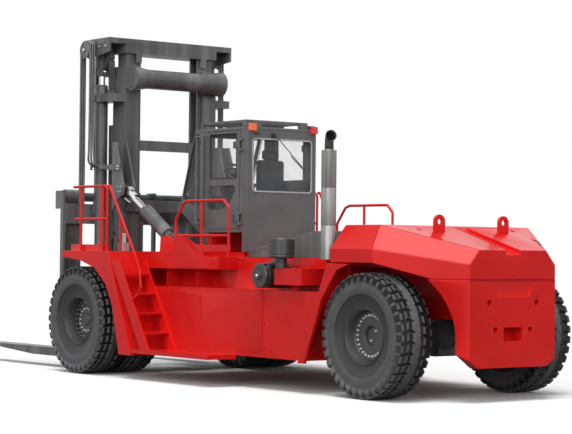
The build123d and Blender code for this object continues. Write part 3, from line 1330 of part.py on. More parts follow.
EYE_HALF, TILT_EYE_R = 50, 95
TILT_BORE_R = 80
for side, s in SIDES:
    eye = s * (TILT_Y - EYE_HALF), s * (TILT_Y + EYE_HALF)
    with BuildPart() as barrel:
        base = tilt_point(0, s)
        rod(tilt_point(60, s), tilt_point(150, s), 60)
        rod(tilt_point(145, s), tilt_point(850, s), 105)
        rod(tilt_point(180, s), tilt_point(790, s), TILT_BORE_R, mode=Mode.SUBTRACT)
        rod(tilt_point(790, s), tilt_point(850, s), TILT_ROD_R + SEAT, mode=Mode.SUBTRACT)
        rod((base[0], eye[0], base[2]), (base[0], eye[1], base[2]), TILT_EYE_R)
        rod((base[0], eye[0], base[2]), (base[0], eye[1], base[2]), 46, mode=Mode.SUBTRACT)
    save(barrel, f"tilt_barrel_{side}")
    with BuildPart() as tilt_rod:
        rod(tilt_point(540, s), tilt_point(TILT_SPAN - 200, s), TILT_ROD_R)
        rod(tilt_point(540, s), tilt_point(600, s), TILT_BORE_R - SEAT)
        head = tilt_point(TILT_SPAN, s)
        shank, neck = tilt_point(1215, s), tilt_point(1330, s)
        # forged end: a box that tapers out to the eye
        side_panel(
            [
                (shank[0] - uz * 75, shank[2] + ux * 75),
                (shank[0] + uz * 75, shank[2] - ux * 75),
                (neck[0] + uz * TILT_EYE_R, neck[2] - ux * TILT_EYE_R),
                (head[0] + uz * TILT_EYE_R, head[2] - ux * TILT_EYE_R),
                (head[0] - uz * TILT_EYE_R, head[2] + ux * TILT_EYE_R),
                (neck[0] - uz * TILT_EYE_R, neck[2] + ux * TILT_EYE_R),
            ],
            *eye,
        )
        rod((head[0], eye[0], head[2]), (head[0], eye[1], head[2]), TILT_EYE_R)
        rod((head[0], eye[0], head[2]), (head[0], eye[1], head[2]), 55, mode=Mode.SUBTRACT)
    save(tilt_rod, f"tilt_rod_{side}")

with BuildPart() as tilt_feet:
    for _, s in SIDES:
        base = tilt_point(0, s)
        for y in (TILT_Y - 145, TILT_Y + 115):
            side_panel(
                [
                    (base[0] + 110, base[2] + 40),
                    (base[0] - 60, base[2] + 60),
                    (base[0] - 700, DECK_Z + SEAT),
                    (base[0] + 130, DECK_Z + SEAT),
                ],
                s * y,
                s * (y + 30),
            )
        rod((base[0], s * (TILT_Y - 145), base[2]), (base[0], s * (TILT_Y + 145), base[2]), 45)
save(tilt_feet, "tilt_feet")

# ------------------------------------------------------------------ handrails
# the rails beside the cab stand outside the sweep of the open doors
CAB_RAIL_Y = HINGE_Y + hypot(DOOR_REAR - DOOR_FRONT, HINGE_Y - DOOR_IN_Y) + RAIL_R
with BuildPart() as handrails:
    # rail across the front walkway, with one flat post
    for _, s in SIDES:
        y = s * RAIL_Y
        for z, reach in ((RAIL_TOP_Z, 80), (RAIL_TOP_Z - 480, 40)):
            rail_bar([(-reach, z), (RAIL_REAR, z)], y)
        for x in (130, RAIL_REAR):
            rail_bar([(x, DECK_Z), (x, RAIL_TOP_Z)], y)
        block(FRONT_X - 750, FRONT_X - 660, y - 8, y + 8, DECK_Z, RAIL_TOP_Z)
save(handrails, "handrails")

with BuildPart() as cab_rails:
    # rail and toe board beside the cab
    for _, s in SIDES:
        y = s * CAB_RAIL_Y
        rail_bar(
            [
                (1935, DECK_Z), (1935, 2280), (2130, 2520), (2230, 2550), (3100, 2550), (3220, 2440),
                (3220, DECK_REAR_Z),
            ],
            y,
        )
        rail_bar([(2570, DECK_Z), (2570, 2550)], y)
        rail_bar([(1935, 2060), (3220, 2060)], y)
        block(FRONT_X - 3260, FRONT_X - 2200, y - 6, y + 6, DECK_Z + 10, DECK_Z + 10 + TOE_H)
        # gusset plate on the outside of the hull, under the front of the rail
        side_panel(
            [
                (FRONT_X - 1940, VALANCE_Z + 20),
                (FRONT_X - 1940, 2070),
                (FRONT_X - 2130, 2050),
                (FRONT_X - 2800, VALANCE_Z + 20),
            ],
            s * (HULL_Y + SEAT),
            s * (HULL_Y + RIB_T),
        )
save(cab_rails, "cab_rails")
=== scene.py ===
"""Looks of a heavy counterbalance forklift truck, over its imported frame. Metres, +X forward, +Y left."""
import json
from math import cos, pi, radians, sin, tan

import bmesh
import bpy
from mathutils import Matrix, Vector

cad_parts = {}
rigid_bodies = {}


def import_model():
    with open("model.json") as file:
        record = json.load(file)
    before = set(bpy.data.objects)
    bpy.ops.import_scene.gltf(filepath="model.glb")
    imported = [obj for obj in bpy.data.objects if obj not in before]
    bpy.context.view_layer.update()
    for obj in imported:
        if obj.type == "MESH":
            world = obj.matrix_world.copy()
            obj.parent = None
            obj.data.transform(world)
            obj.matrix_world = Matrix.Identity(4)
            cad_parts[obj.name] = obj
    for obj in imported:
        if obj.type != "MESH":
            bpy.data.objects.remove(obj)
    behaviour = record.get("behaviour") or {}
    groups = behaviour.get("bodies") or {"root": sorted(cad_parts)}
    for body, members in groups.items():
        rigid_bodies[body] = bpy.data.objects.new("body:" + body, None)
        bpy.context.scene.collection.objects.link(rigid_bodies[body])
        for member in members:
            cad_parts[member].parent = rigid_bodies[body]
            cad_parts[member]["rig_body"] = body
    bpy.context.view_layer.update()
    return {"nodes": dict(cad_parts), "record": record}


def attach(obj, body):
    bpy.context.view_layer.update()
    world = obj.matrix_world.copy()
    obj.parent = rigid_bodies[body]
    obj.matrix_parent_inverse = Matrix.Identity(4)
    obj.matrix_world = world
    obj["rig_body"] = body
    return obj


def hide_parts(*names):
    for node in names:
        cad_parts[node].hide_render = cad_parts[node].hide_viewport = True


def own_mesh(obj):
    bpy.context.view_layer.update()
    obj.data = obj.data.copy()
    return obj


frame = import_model()
SIDES = (("left", 1), ("right", -1))

# ------------------------------------------------------------------ camera
CAMERA_PLACE = Vector((-22.356, 16.615, 1.851))
CAMERA_YAW, CAMERA_PITCH, CAMERA_ROLL = -0.6569, 0.0183, 0.0104
LENS = 118.3


def set_camera():
    """A long lens from behind the truck's left side, at a standing person's eye height."""
    ahead = Vector((
        cos(CAMERA_YAW) * cos(CAMERA_PITCH), sin(CAMERA_YAW) * cos(CAMERA_PITCH), sin(CAMERA_PITCH)
    ))
    flat_right = ahead.cross(Vector((0, 0, 1))).normalized()
    flat_up = flat_right.cross(ahead)
    right = flat_right * cos(CAMERA_ROLL) + flat_up * sin(CAMERA_ROLL)
    up = flat_up * cos(CAMERA_ROLL) - flat_right * sin(CAMERA_ROLL)
    camera = bpy.data.objects.new("camera", bpy.data.cameras.new("camera"))
    bpy.context.scene.collection.objects.link(camera)
    turn = Matrix((right, up, -ahead)).transposed()
    camera.matrix_world = Matrix.Translation(CAMERA_PLACE) @ turn.to_4x4()
    camera.data.lens = LENS
    camera.data.sensor_width = 36
    camera.data.clip_end = 400
    bpy.context.scene.camera = camera


# ------------------------------------------------------------------ shader arithmetic
class Wire:
    """A shader value that takes part in plain arithmetic."""

    def __init__(self, tree, socket):
        self.tree, self.socket = tree, socket

    def _math(self, operation, left, right):
        """One Math node on two values, which are sockets or numbers."""
        node = self.tree.nodes.new("ShaderNodeMath")
        node.operation = operation
        for port, value in zip(node.inputs, (left, right)):
            if isinstance(value, Wire):
                self.tree.links.new(value.socket, port)
            else:
                port.default_value = value
        return Wire(self.tree, node.outputs[0])

    def __add__(self, other):
        return self._math("ADD", self, other)

    def __radd__(self, other):
        return self._math("ADD", other, self)

    def __sub__(self, other):
        return self._math("SUBTRACT", self, other)

    def __rsub__(self, other):
        return self._math("SUBTRACT", other, self)

    def __mul__(self, other):
        return self._math("MULTIPLY", self, other)

    def __rmul__(self, other):
        return self._math("MULTIPLY", other, self)

    def __truediv__(self, other):
        return self._math("DIVIDE", self, other)

    def __pow__(self, other):
        return self._math("POWER", self, other)

    def highest(self, other):
        """The greater of two values."""
        return self._math("MAXIMUM", self, other)


class Finish:
    """A material under construction: one Principled shader and what feeds it."""

    def __init__(self, name, colour, roughness, metallic=0.0, coat=0.0, coat_roughness=0.03):
        self.material = bpy.data.materials.new(name)
        self.material.use_nodes = True
        self.material.diffuse_color = (*colour, 1)
        self.tree = self.material.node_tree
        self.shader = self.tree.nodes["Principled BSDF"]
        self.colour = colour
        for port, value in (
            ("Base Color", (*colour, 1)),
            ("Roughness", roughness),
            ("Metallic", metallic),
            ("Coat Weight", coat),
            ("Coat Roughness", coat_roughness),
        ):
            self.shader.inputs[port].default_value = value

    def node(self, kind, settings=None, inputs=None, output=0):
        """Any shader node: its settings first, then its inputs by name."""
        made = self.tree.nodes.new(kind)
        for key, value in (settings or {}).items():
            if key == "stops":
                for stop, (at, colour) in zip(made.color_ramp.elements, value):
                    stop.position, stop.color = at, colour
            else:
                setattr(made, key, value)
        ports = {port.identifier: port for port in made.inputs}
        ports.update({port.name: port for port in made.inputs if port.enabled})
        for key, value in (inputs or {}).items():
            if isinstance(value, Wire):
                self.tree.links.new(value.socket, ports[key])
            else:
                ports[key].default_value = value
        outputs = {port.identifier: port for port in made.outputs}
        return Wire(self.tree, outputs.get(output) or made.outputs[output])

    def place(self):
        """The point's place on the truck, in metres."""
        return self.node("ShaderNodeTexCoord", output="Object")

    def height(self):
        """The point's height above the floor."""
        return self.node("ShaderNodeSeparateXYZ", inputs={"Vector": self.place()}, output="Z")

    def noise(self, scale, detail=3.0, stretch=(1, 1, 1)):
        """Cloudy value around 0.5."""
        at = self.node("ShaderNodeMapping", inputs={"Vector": self.place(), "Scale": stretch})
        return self.node("ShaderNodeTexNoise", inputs={"Vector": at, "Scale": scale, "Detail": detail})

    def clamp(self, value, low=0.0, high=1.0):
        """value, spread from low..high to 0..1 and cut off there."""
        return self.node("ShaderNodeMapRange", inputs={"Value": value, "From Min": low, "From Max": high})

    def blend(self, mask, first, second):
        """A colour between two colours."""
        inputs = {"Factor_Float": mask}
        for key, colour in (("A_Color", first), ("B_Color", second)):
            inputs[key] = colour if isinstance(colour, Wire) else (*colour, 1)
        return self.node(
            "ShaderNodeMix", {"data_type": "RGBA"}, inputs, output="Result_Color"
        )

    def feed(self, port, value):
        """Links a value to one of the shader's sockets."""
        self.tree.links.new(value.socket, self.shader.inputs[port])
        return self

    def bump(self, height, depth, strength=1.0):
        """Fine relief, depth metres high."""
        bumped = self.node(
            "ShaderNodeBump", inputs={"Height": height, "Distance": depth, "Strength": strength}
        )
        return self.feed("Normal", bumped)


# ------------------------------------------------------------------ finishes
RED = (0.68, 0.0105, 0.0085)
RED_SHADE = (0.60, 0.0085, 0.007)
DUST = (0.16, 0.13, 0.11)


def red_paint():
    """Sprayed gloss enamel, a little uneven, with road dust low down, and a painted sheen on faces that look
    straight up.
    """
    paint = Finish("red_paint", RED, 0.28, coat=0.12, coat_roughness=0.03)
    paint.shader.inputs["Specular IOR Level"].default_value = 0.2
    cloud = paint.noise(1.7, 4)
    low = paint.clamp(1.0 - paint.height() / 1.1) ** 2.0
    dusty = low * paint.clamp(paint.noise(9, 6), 0.45, 0.75) * 0.35
    colour = paint.blend(paint.clamp(cloud, 0.35, 0.65), RED, RED_SHADE)
    paint.feed("Base Color", paint.blend(dusty, colour, DUST))
    # Painted sheen: faces that look straight up get a thicker clear coat, so the tops show a brighter glare
    # than the sides.
    facing = paint.node("ShaderNodeNewGeometry", output="Normal")
    sheen_facing_up = paint.node("ShaderNodeSeparateXYZ", inputs={"Vector": facing}, output="Z")
    paint.feed("Coat Weight", 0.03 + paint.clamp(sheen_facing_up, 0.90, 0.985) * 0.30)
    paint.feed("Roughness", 0.27 + dusty * 0.5 + paint.noise(30, 2) * 0.06)
    paint.bump(paint.noise(260, 2), 0.0004, 0.25)
    return paint.material


def plain_paint(name, colour, roughness, coat=0.15, worn=0.25):
    """Satin enamel with faint clouds and a fine spray texture."""
    paint = Finish(name, colour, roughness, coat=coat, coat_roughness=0.2)
    cloud = paint.clamp(paint.noise(3.1, 5), 0.35, 0.7)
    paler = tuple(min(1, c * (1 + worn) + 0.004) for c in colour)
    paint.feed("Base Color", paint.blend(cloud, colour, paler))
    paint.feed("Roughness", roughness - 0.06 + paint.noise(22, 3) * 0.14)
    paint.bump(paint.noise(240, 2), 0.0004, 0.3)
    return paint.material


def greased_steel():
    """Dark grey mast steel with vertical streaks of grease and rubbed, paler stretches."""
    steel = Finish("mast_paint", (0.085, 0.085, 0.087), 0.36, coat=0.3, coat_roughness=0.15)
    streak = steel.noise(5, 5, (1, 1, 0.06))
    rubbed = steel.clamp(streak, 0.42, 0.72)
    steel.feed("Base Color", steel.blend(rubbed, (0.070, 0.071, 0.073), (0.165, 0.166, 0.168)))
    steel.feed("Roughness", 0.44 - rubbed * 0.14 + steel.noise(40, 3) * 0.1)
    steel.bump(steel.noise(180, 3), 0.0006, 0.35)
    return steel.material


def tyre_rubber():
    """Rubber worn grey by scuffing on its faces and bulge, near black in its grooves as painted shade, and
    darker by the rim.
    """
    rubber = Finish("tyre_rubber", (0.05, 0.051, 0.053), 0.62)
    scuff_and_groove_shade = rubber.node("ShaderNodeAttribute", {"attribute_name": "scuff_and_groove_shade"}, output="Fac")
    patch = rubber.clamp(rubber.noise(7, 6), 0.3, 0.75)
    # worn carries both the grey of real scuffing and the painted shade that keeps the groove bottoms near
    # black.
    worn = rubber.clamp(scuff_and_groove_shade * (0.75 + patch * 0.5))
    rubber.feed("Base Color", rubber.blend(worn, (0.010, 0.010, 0.011), (0.105, 0.106, 0.110)))
    rubber.feed("Roughness", 0.48 + worn * 0.25)
    rubber.bump(rubber.noise(120, 4), 0.001, 0.5)
    return rubber.material


def chrome():
    """Hard chrome on the cylinder rods, with faint turning marks."""
    plate = Finish("chrome", (0.72, 0.72, 0.74), 0.14, metallic=1.0)
    plate.feed("Roughness", 0.1 + plate.noise(90, 2, (1, 1, 0.1)) * 0.16)
    return plate.material


def bright_steel():
    """Zinc-plated bolts and pins, a little dulled."""
    plate = Finish("bright_steel", (0.62, 0.62, 0.63), 0.3, metallic=0.75)
    plate.feed("Roughness", 0.26 + plate.noise(60, 3) * 0.2)
    return plate.material


def perforated_steel():
    """Rolled heat guard of perforated steel sheet, dulled by heat, streaked down its length, its holes
    painted near black as the shade inside.
    """
    sheet = Finish("exhaust_guard", (0.30, 0.30, 0.30), 0.42, metallic=0.6)
    holes = sheet.node(
        "ShaderNodeTexVoronoi", {"feature": "F1"}, {"Vector": sheet.place(), "Scale": 48.0, "Randomness": 0.0}
    )
    hole_and_inner_shade = sheet.clamp(holes, 0.34, 0.22)
    streak = sheet.clamp(sheet.noise(14, 4, (1, 1, 0.05)), 0.35, 0.7)
    plain = sheet.blend(streak, (0.17, 0.17, 0.17), (0.36, 0.36, 0.355))
    # The holes are a real pattern; their near black colour is painted shade for the dark space seen through
    # them.
    sheet.feed("Base Color", sheet.blend(hole_and_inner_shade * 0.75, plain, (0.02, 0.02, 0.02)))
    sheet.feed("Roughness", 0.36 + sheet.noise(12, 4) * 0.2)
    sheet.bump(hole_and_inner_shade, 0.002, 0.6)
    return sheet.material


def glass():
    """Clear safety glass, seen through from both sides."""
    pane = Finish("glass", (0.35, 0.38, 0.38), 0.03)
    pane.shader.inputs["IOR"].default_value = 1.5
    smear = pane.clamp(pane.noise(5, 4), 0.4, 0.8)
    pane.feed("Alpha", 0.07 + smear * 0.05)
    pane.material.blend_method = "BLEND"
    return pane.material


def lens(name, colour, glow=0.0):
    """Moulded lamp lens with fine ribs."""
    cover = Finish(name, colour, 0.18, coat=0.5)
    ribs = cover.node(
        "ShaderNodeTexWave", {"bands_direction": "Z"}, {"Vector": cover.place(), "Scale": 60.0}
    )
    cover.bump(ribs, 0.001, 0.4)
    cover.shader.inputs["Emission Color"].default_value = (*colour, 1)
    cover.shader.inputs["Emission Strength"].default_value = glow
    return cover.material


def moulded_plastic(name, colour, roughness):
    """Grained plastic or rubber moulding."""
    plastic = Finish(name, colour, roughness)
    plastic.feed("Roughness", roughness - 0.05 + plastic.noise(35, 3) * 0.12)
    plastic.bump(plastic.noise(420, 2), 0.0005, 0.5)
    return plastic.material


def seat_cloth():
    """Woven seat fabric."""
    cloth = Finish("seat_cloth", (0.05, 0.05, 0.055), 0.85)
    weave = cloth.node("ShaderNodeTexChecker", inputs={"Vector": cloth.place(), "Scale": 320.0}, output="Fac")
    cloth.feed("Base Color", cloth.blend(weave * 0.5, (0.04, 0.04, 0.045), (0.08, 0.08, 0.088)))
    cloth.bump(weave, 0.001, 0.5)
    return cloth.material


FINISHES = {
    "red_paint": red_paint(),
    "cab_paint": plain_paint("cab_paint", (0.088, 0.092, 0.093), 0.42),
    "mast_paint": greased_steel(),
    "tyre": tyre_rubber(),
    "rim_paint": plain_paint("rim_paint", (0.045, 0.045, 0.047), 0.45),
    "chrome": chrome(),
    "bright_steel": bright_steel(),
    "steel": perforated_steel(),
    "black_plastic": plain_paint("black_paint", (0.03, 0.03, 0.031), 0.4),
    "seat_cloth": seat_cloth(),
    "rubber": moulded_plastic("hose_rubber", (0.02, 0.02, 0.021), 0.55),
    "hose": plain_paint("hose_cover", (0.085, 0.085, 0.086), 0.38, coat=0.35, worn=0.5),
    "soot": plain_paint("sooty_steel", (0.030, 0.029, 0.028), 0.5, coat=0.1, worn=1.2),
    "pale_seal": moulded_plastic("pale_seal", (0.42, 0.42, 0.41), 0.5),
    "chain_steel": plain_paint("chain_steel", (0.075, 0.073, 0.070), 0.38, coat=0.2, worn=0.6),
    "glass": glass(),
    "orange_lens": lens("orange_lens", (0.85, 0.13, 0.01), 0.15),
    "red_lens": lens("red_lens", (0.65, 0.01, 0.01), 0.15),
    "clear_lens": lens("clear_lens", (0.75, 0.77, 0.78), 0.0),
}


def dress_cad():
    """Gives each CAD node the finish that its material slot names."""
    slots = {row["node"]: row["material_slot"] for row in frame["record"]["subparts"]}
    for name, node in frame["nodes"].items():
        node.data.materials.clear()
        node.data.materials.append(FINISHES[slots[name]])


# ------------------------------------------------------------------ modelling
HOME = {name: node["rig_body"] for name, node in frame["nodes"].items()}
SLOT = {row["node"]: row["material_slot"] for row in frame["record"]["subparts"]}
WELD = 0.00005  # corners this close are one corner
CREASE = 33  # degrees, past which an edge stays sharp
X, Y, Z = Vector((1, 0, 0)), Vector((0, 1, 0)), Vector((0, 0, 1))


def publish(shape, name, finish, body, stands_for=(), rounding=0.0, segments=2, outward=True):
    """A finished piece: faces outwards, edges rounded, with its finish and body."""
    if outward:
        bmesh.ops.recalc_face_normals(shape, faces=shape.faces)
    if not shape.faces:
        raise ValueError(f"{name} has no faces")
    mesh = bpy.data.meshes.new(name)
    shape.to_mesh(mesh)
    shape.free()
    for face in mesh.polygons:
        face.use_smooth = True
    mesh.set_sharp_from_angle(angle=radians(CREASE))
    mesh.materials.append(finish)
    piece = bpy.data.objects.new(name, mesh)
    bpy.context.scene.collection.objects.link(piece)
    if rounding:
        edge = piece.modifiers.new("edge", "BEVEL")
        edge.width, edge.segments = rounding, segments
        edge.limit_method, edge.angle_limit = "ANGLE", radians(CREASE)
        edge.harden_normals = True
    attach(piece, body)
    if stands_for:
        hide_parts(*stands_for)
    return piece


def soften(node, rounding):
    """A copy of a CAD node with its flat faces joined up and its edges rounded."""
    shape = bmesh.new()
    shape.from_mesh(frame["nodes"][node].data)
    bmesh.ops.remove_doubles(shape, verts=shape.verts, dist=WELD)
    bmesh.ops.dissolve_limit(shape, angle_limit=radians(0.6), verts=shape.verts, edges=shape.edges)
    publish(
        shape, f"{node}_rounded", FINISHES[SLOT[node]], HOME[node], (node,), rounding,
        outward=False,
    )


def across(direction):
    """A turn that brings +Z to the given direction."""
    return Vector(direction).to_track_quat("Z", "Y").to_matrix()


def lathe(shape, profile, place, axis, steps=64, close=True):
    """Turns a section of (radius, distance along the axis) about an axis through place.

    close welds the points on the axis, and with them any corners that coincide in the whole shape.
    """
    place, axis = Vector(place), Vector(axis).normalized()
    turn = across(axis)
    points = [shape.verts.new(place + turn @ Vector((radius, 0, along))) for radius, along in profile]
    edges = [shape.edges.new(pair) for pair in zip(points, points[1:])]
    bmesh.ops.spin(
        shape, geom=points + edges, cent=place, axis=axis, angle=2 * pi, steps=steps, use_merge=True
    )
    if close:
        bmesh.ops.remove_doubles(shape, verts=shape.verts, dist=WELD)


def prism(shape, outline, push):
    """A flat outline of points, thickened by the vector push."""
    face = shape.faces.new([shape.verts.new(point) for point in outline])
    made = bmesh.ops.extrude_face_region(shape, geom=[face], use_keep_orig=True)
    moved = [item for item in made["geom"] if isinstance(item, bmesh.types.BMVert)]
    bmesh.ops.translate(shape, verts=moved, vec=Vector(push))
    return [face] + [item for item in made["geom"] if isinstance(item, bmesh.types.BMFace)]


def slab(shape, low, high):
    """A rectangular plate between two corners."""
    low, high = Vector(low), Vector(high)
    outline = [
        low, Vector((high.x, low.y, low.z)), Vector((high.x, high.y, low.z)), Vector((low.x, high.y, low.z))
    ]
    prism(shape, outline, Z * (high.z - low.z))


def post(shape, start, end, radius, sides=16, end_radius=None):
    """A closed round bar or cone from start to end."""
    start, end = Vector(start), Vector(end)
    way = end - start
    bmesh.ops.create_cone(
        shape, cap_ends=True, segments=sides, radius1=radius,
        radius2=radius if end_radius is None else end_radius, depth=way.length,
        matrix=Matrix.Translation((start + end) / 2) @ across(way).to_4x4(),
    )


def bolts(shape, places, axis, radius, height, washer=0.0):
    """Hexagon bolt heads, each with a chamfered top, on a washer if one is given."""
    axis = Vector(axis).normalized()
    for place in places:
        place = Vector(place)
        if washer:
            post(shape, place, place + axis * 0.12 * radius, washer, 16)
        post(shape, place, place + axis * height * 0.8, radius, 6)
        post(shape, place + axis * height * 0.8, place + axis * height, radius, 6, radius * 0.72)


def circle_of(place, axis, radius, count, phase=0.0):
    """Places evenly round an axis."""
    turn = across(axis)
    return [
        Vector(place) + turn @ Vector((radius * cos(step), radius * sin(step), 0))
        for step in (2 * pi * (n + phase) / count for n in range(count))
    ]


def bent_tube(shape, points, radius, bend, sides=12, steps=6):
    """A round tube along straight legs, turned about a centre at each corner."""
    points = [Vector(point) for point in points]
    way = (points[1] - points[0]).normalized()
    ring = bmesh.ops.create_circle(
        shape, cap_ends=True, radius=radius, segments=sides,
        matrix=Matrix.Translation(points[0]) @ across(way).to_4x4(),
    )
    verts = ring["verts"]
    edges = list({edge for vert in verts for edge in vert.link_edges})
    here = points[0]
    for index, corner in enumerate(points[1:], 1):
        last = index == len(points) - 1
        if last:
            leg_end = corner
        else:
            onward = (points[index + 1] - corner).normalized()
            turn = way.angle(onward)
            leg_end = corner - way * bend * tan(turn / 2)
        made = bmesh.ops.extrude_edge_only(shape, edges=edges)["geom"]
        verts = [item for item in made if isinstance(item, bmesh.types.BMVert)]
        edges = [item for item in made if isinstance(item, bmesh.types.BMEdge)]
        bmesh.ops.translate(shape, verts=verts, vec=leg_end - here)
        edges = [edge for edge in edges if all(vert in verts for vert in edge.verts)]
        if not last:
            axis = way.cross(onward).normalized()
            centre = leg_end + axis.cross(way) * bend
            made = bmesh.ops.spin(
                shape, geom=edges, cent=centre, axis=axis, angle=turn, steps=steps
            )["geom_last"]
            verts = [item for item in made if isinstance(item, bmesh.types.BMVert)]
            edges = [item for item in made if isinstance(item, bmesh.types.BMEdge)]
            here = corner + onward * bend * tan(turn / 2)
            way = onward
    bmesh.ops.contextual_create(shape, geom=edges)


# ------------------------------------------------------------------ wheels
FRONT = Vector((1.770, 0, 0.800))  # middle of the front axle
REAR = FRONT - X * 6.050
LUG_COUNT = 36  # on each side of a tyre
DUAL = 0.570  # between the middles of a pair of front tyres
FRONT_OUT_Y, REAR_OUT_Y = 1.720, 1.227

# carcass of a tyre from the bead to the middle of the tread: radius, distance from the middle
CARCASS = (
    (0.3705, 0.150), (0.373, 0.184), (0.384, 0.190), (0.398, 0.188), (0.440, 0.200), (0.500, 0.222),
    (0.526, 0.236), (0.530, 0.246), (0.540, 0.250), (0.600, 0.2545), (0.650, 0.2535), (0.700, 0.247),
    (0.735, 0.238), (0.756, 0.220), (0.760, 0.040), (0.7985, 0.034), (0.7985, 0.000),
)
# a lug from the centre band over the shoulder: distance and radius of its face, then of its root,
# share of the pitch that the groove beside it takes, and how far it leans round the tyre
LUG = (
    (0.030, 0.7990, 0.030, 0.750, 0.10, 0.00),
    (0.070, 0.7990, 0.070, 0.750, 0.20, 0.10),
    (0.110, 0.7990, 0.110, 0.750, 0.38, 0.22),
    (0.150, 0.7985, 0.150, 0.750, 0.34, 0.10),
    (0.195, 0.7970, 0.190, 0.748, 0.26, 0.00),
    (0.234, 0.7900, 0.205, 0.740, 0.36, -0.02),
    (0.2505, 0.7500, 0.215, 0.725, 0.40, 0.00),
    (0.2546, 0.7050, 0.225, 0.700, 0.30, 0.00),
    (0.2548, 0.6600, 0.235, 0.660, 0.04, 0.00),
)


def lug(shape, hub, row, phase):
    """One lug, drawn out from the middle of the tread over the shoulder."""
    pitch = 2 * pi / LUG_COUNT

    def section(face_y, face_r, root_y, root_r, groove, lean):
        """Four corners of the lug's cross section at one step across the tread."""
        half = (0.5 - groove / 2) * pitch
        middle = (phase + lean) * pitch
        for along, radius, turn in (
            (face_y, face_r, -half), (face_y, face_r, half), (root_y, root_r, half), (root_y, root_r, -half)
        ):
            yield hub + Vector((
                radius * sin(middle + turn), row * along, radius * cos(middle + turn)
            ))

    corners = [shape.verts.new(point) for point in section(*LUG[0])]
    face = shape.faces.new(corners)
    for index, station in enumerate(LUG[1:]):
        made = bmesh.ops.extrude_face_region(shape, geom=[face], use_keep_orig=index == 0)["geom"]
        face = next(item for item in made if isinstance(item, bmesh.types.BMFace))
        corners = [min(face.verts, key=lambda vert: (vert.co - old.co).length) for old in corners]
        for vert, point in zip(corners, list(section(*station))):
            vert.co = point


def tyre(shape, hub):
    """A rock-lug tyre: a turned carcass with a centre band, and two rows of lugs half a pitch apart."""
    profile = list(CARCASS) + [(radius, -along) for radius, along in reversed(CARCASS[:-1])]
    lathe(shape, profile + [profile[0]], hub, Y, 72)
    for row, phase in ((1, 0.0), (-1, 0.5)):
        start = bmesh.new()
        lug(start, hub, row, phase)
        bmesh.ops.recalc_face_normals(start, faces=start.faces)
        bmesh.ops.bevel(
            start, geom=start.edges, offset=0.006, segments=1, profile=0.5, affect="EDGES", material=-1,
            offset_type="OFFSET", clamp_overlap=True,
        )
        bmesh.ops.spin(
            start, geom=start.verts[:] + start.edges[:] + start.faces[:], cent=hub, axis=Y,
            angle=2 * pi * (LUG_COUNT - 1) / LUG_COUNT, steps=LUG_COUNT - 1, use_duplicate=True,
        )
        pour(start, shape)


SCUFF_AND_GROOVE_SHADE = (  # distance from the axle, how light the rubber is there: grey where scuffing wears it, near black at the groove bottoms as painted shade, darker by the rim
    (0.00, 0.05), (0.40, 0.12), (0.50, 0.16), (0.527, 0.10), (0.535, 0.75), (0.60, 0.62), (0.66, 0.80),
    (0.74, 0.75), (0.748, 0.02), (0.768, 0.02), (0.780, 0.85), (0.90, 1.0),
)


def mark_scuff_and_groove_shade(shape, hub):
    """Notes on each corner how light the rubber is, grey from scuffing and near black with painted shade at
    the groove bottoms, for the rubber's colour.
    """
    layer = shape.verts.layers.float.new("scuff_and_groove_shade")
    for vert in shape.verts:
        away = Vector((vert.co.x - hub.x, vert.co.z - hub.z)).length
        for (low, before), (high, after) in zip(SCUFF_AND_GROOVE_SHADE, SCUFF_AND_GROOVE_SHADE[1:]):
            if low <= away < high:
                vert[layer] = before + (after - before) * (away - low) / (high - low)


def pour(source, shape):
    """Adds one bmesh to another."""
    mesh = bpy.data.meshes.new("pour")
    source.to_mesh(mesh)
    source.free()
    shape.from_mesh(mesh)
    bpy.data.meshes.remove(mesh)


# sections of a rim from its middle outwards: radius, distance from the tyre's middle
RIM_LIP = (
    (0.3700, 0.120), (0.3700, 0.180), (0.3680, 0.190), (0.3600, 0.193), (0.3540, 0.188), (0.3520, 0.176),
    (0.3440, 0.174), (0.3420, 0.182), (0.3360, 0.184), (0.3320, 0.176),
)
REAR_DISC = (
    (0.3280, 0.110), (0.3200, 0.084), (0.3120, 0.078), (0.3080, 0.086), (0.3010, 0.089), (0.2960, 0.084),
    (0.2940, 0.076), (0.1340, 0.076), (0.1270, 0.071), (0.1220, 0.034), (0.0000, 0.034),
)
FRONT_DISC = (
    (0.3240, 0.020), (0.3200, -0.040), (0.3130, -0.048), (0.2420, -0.048), (0.2380, -0.040),
    (0.2360, 0.030), (0.2280, 0.044), (0.2060, 0.047), (0.1980, 0.038), (0.0900, 0.038),
    (0.0840, 0.052), (0.0760, 0.058), (0.0000, 0.058),
)
REAR_BACK = ((0.0000, -0.010), (0.3080, -0.010), (0.3120, -0.180), (0.3700, -0.183), (0.3700, 0.120))
FRONT_BACK = ((0.0000, -0.690), (0.3080, -0.690), (0.3120, -0.750), (0.3700, -0.753), (0.3700, 0.120))


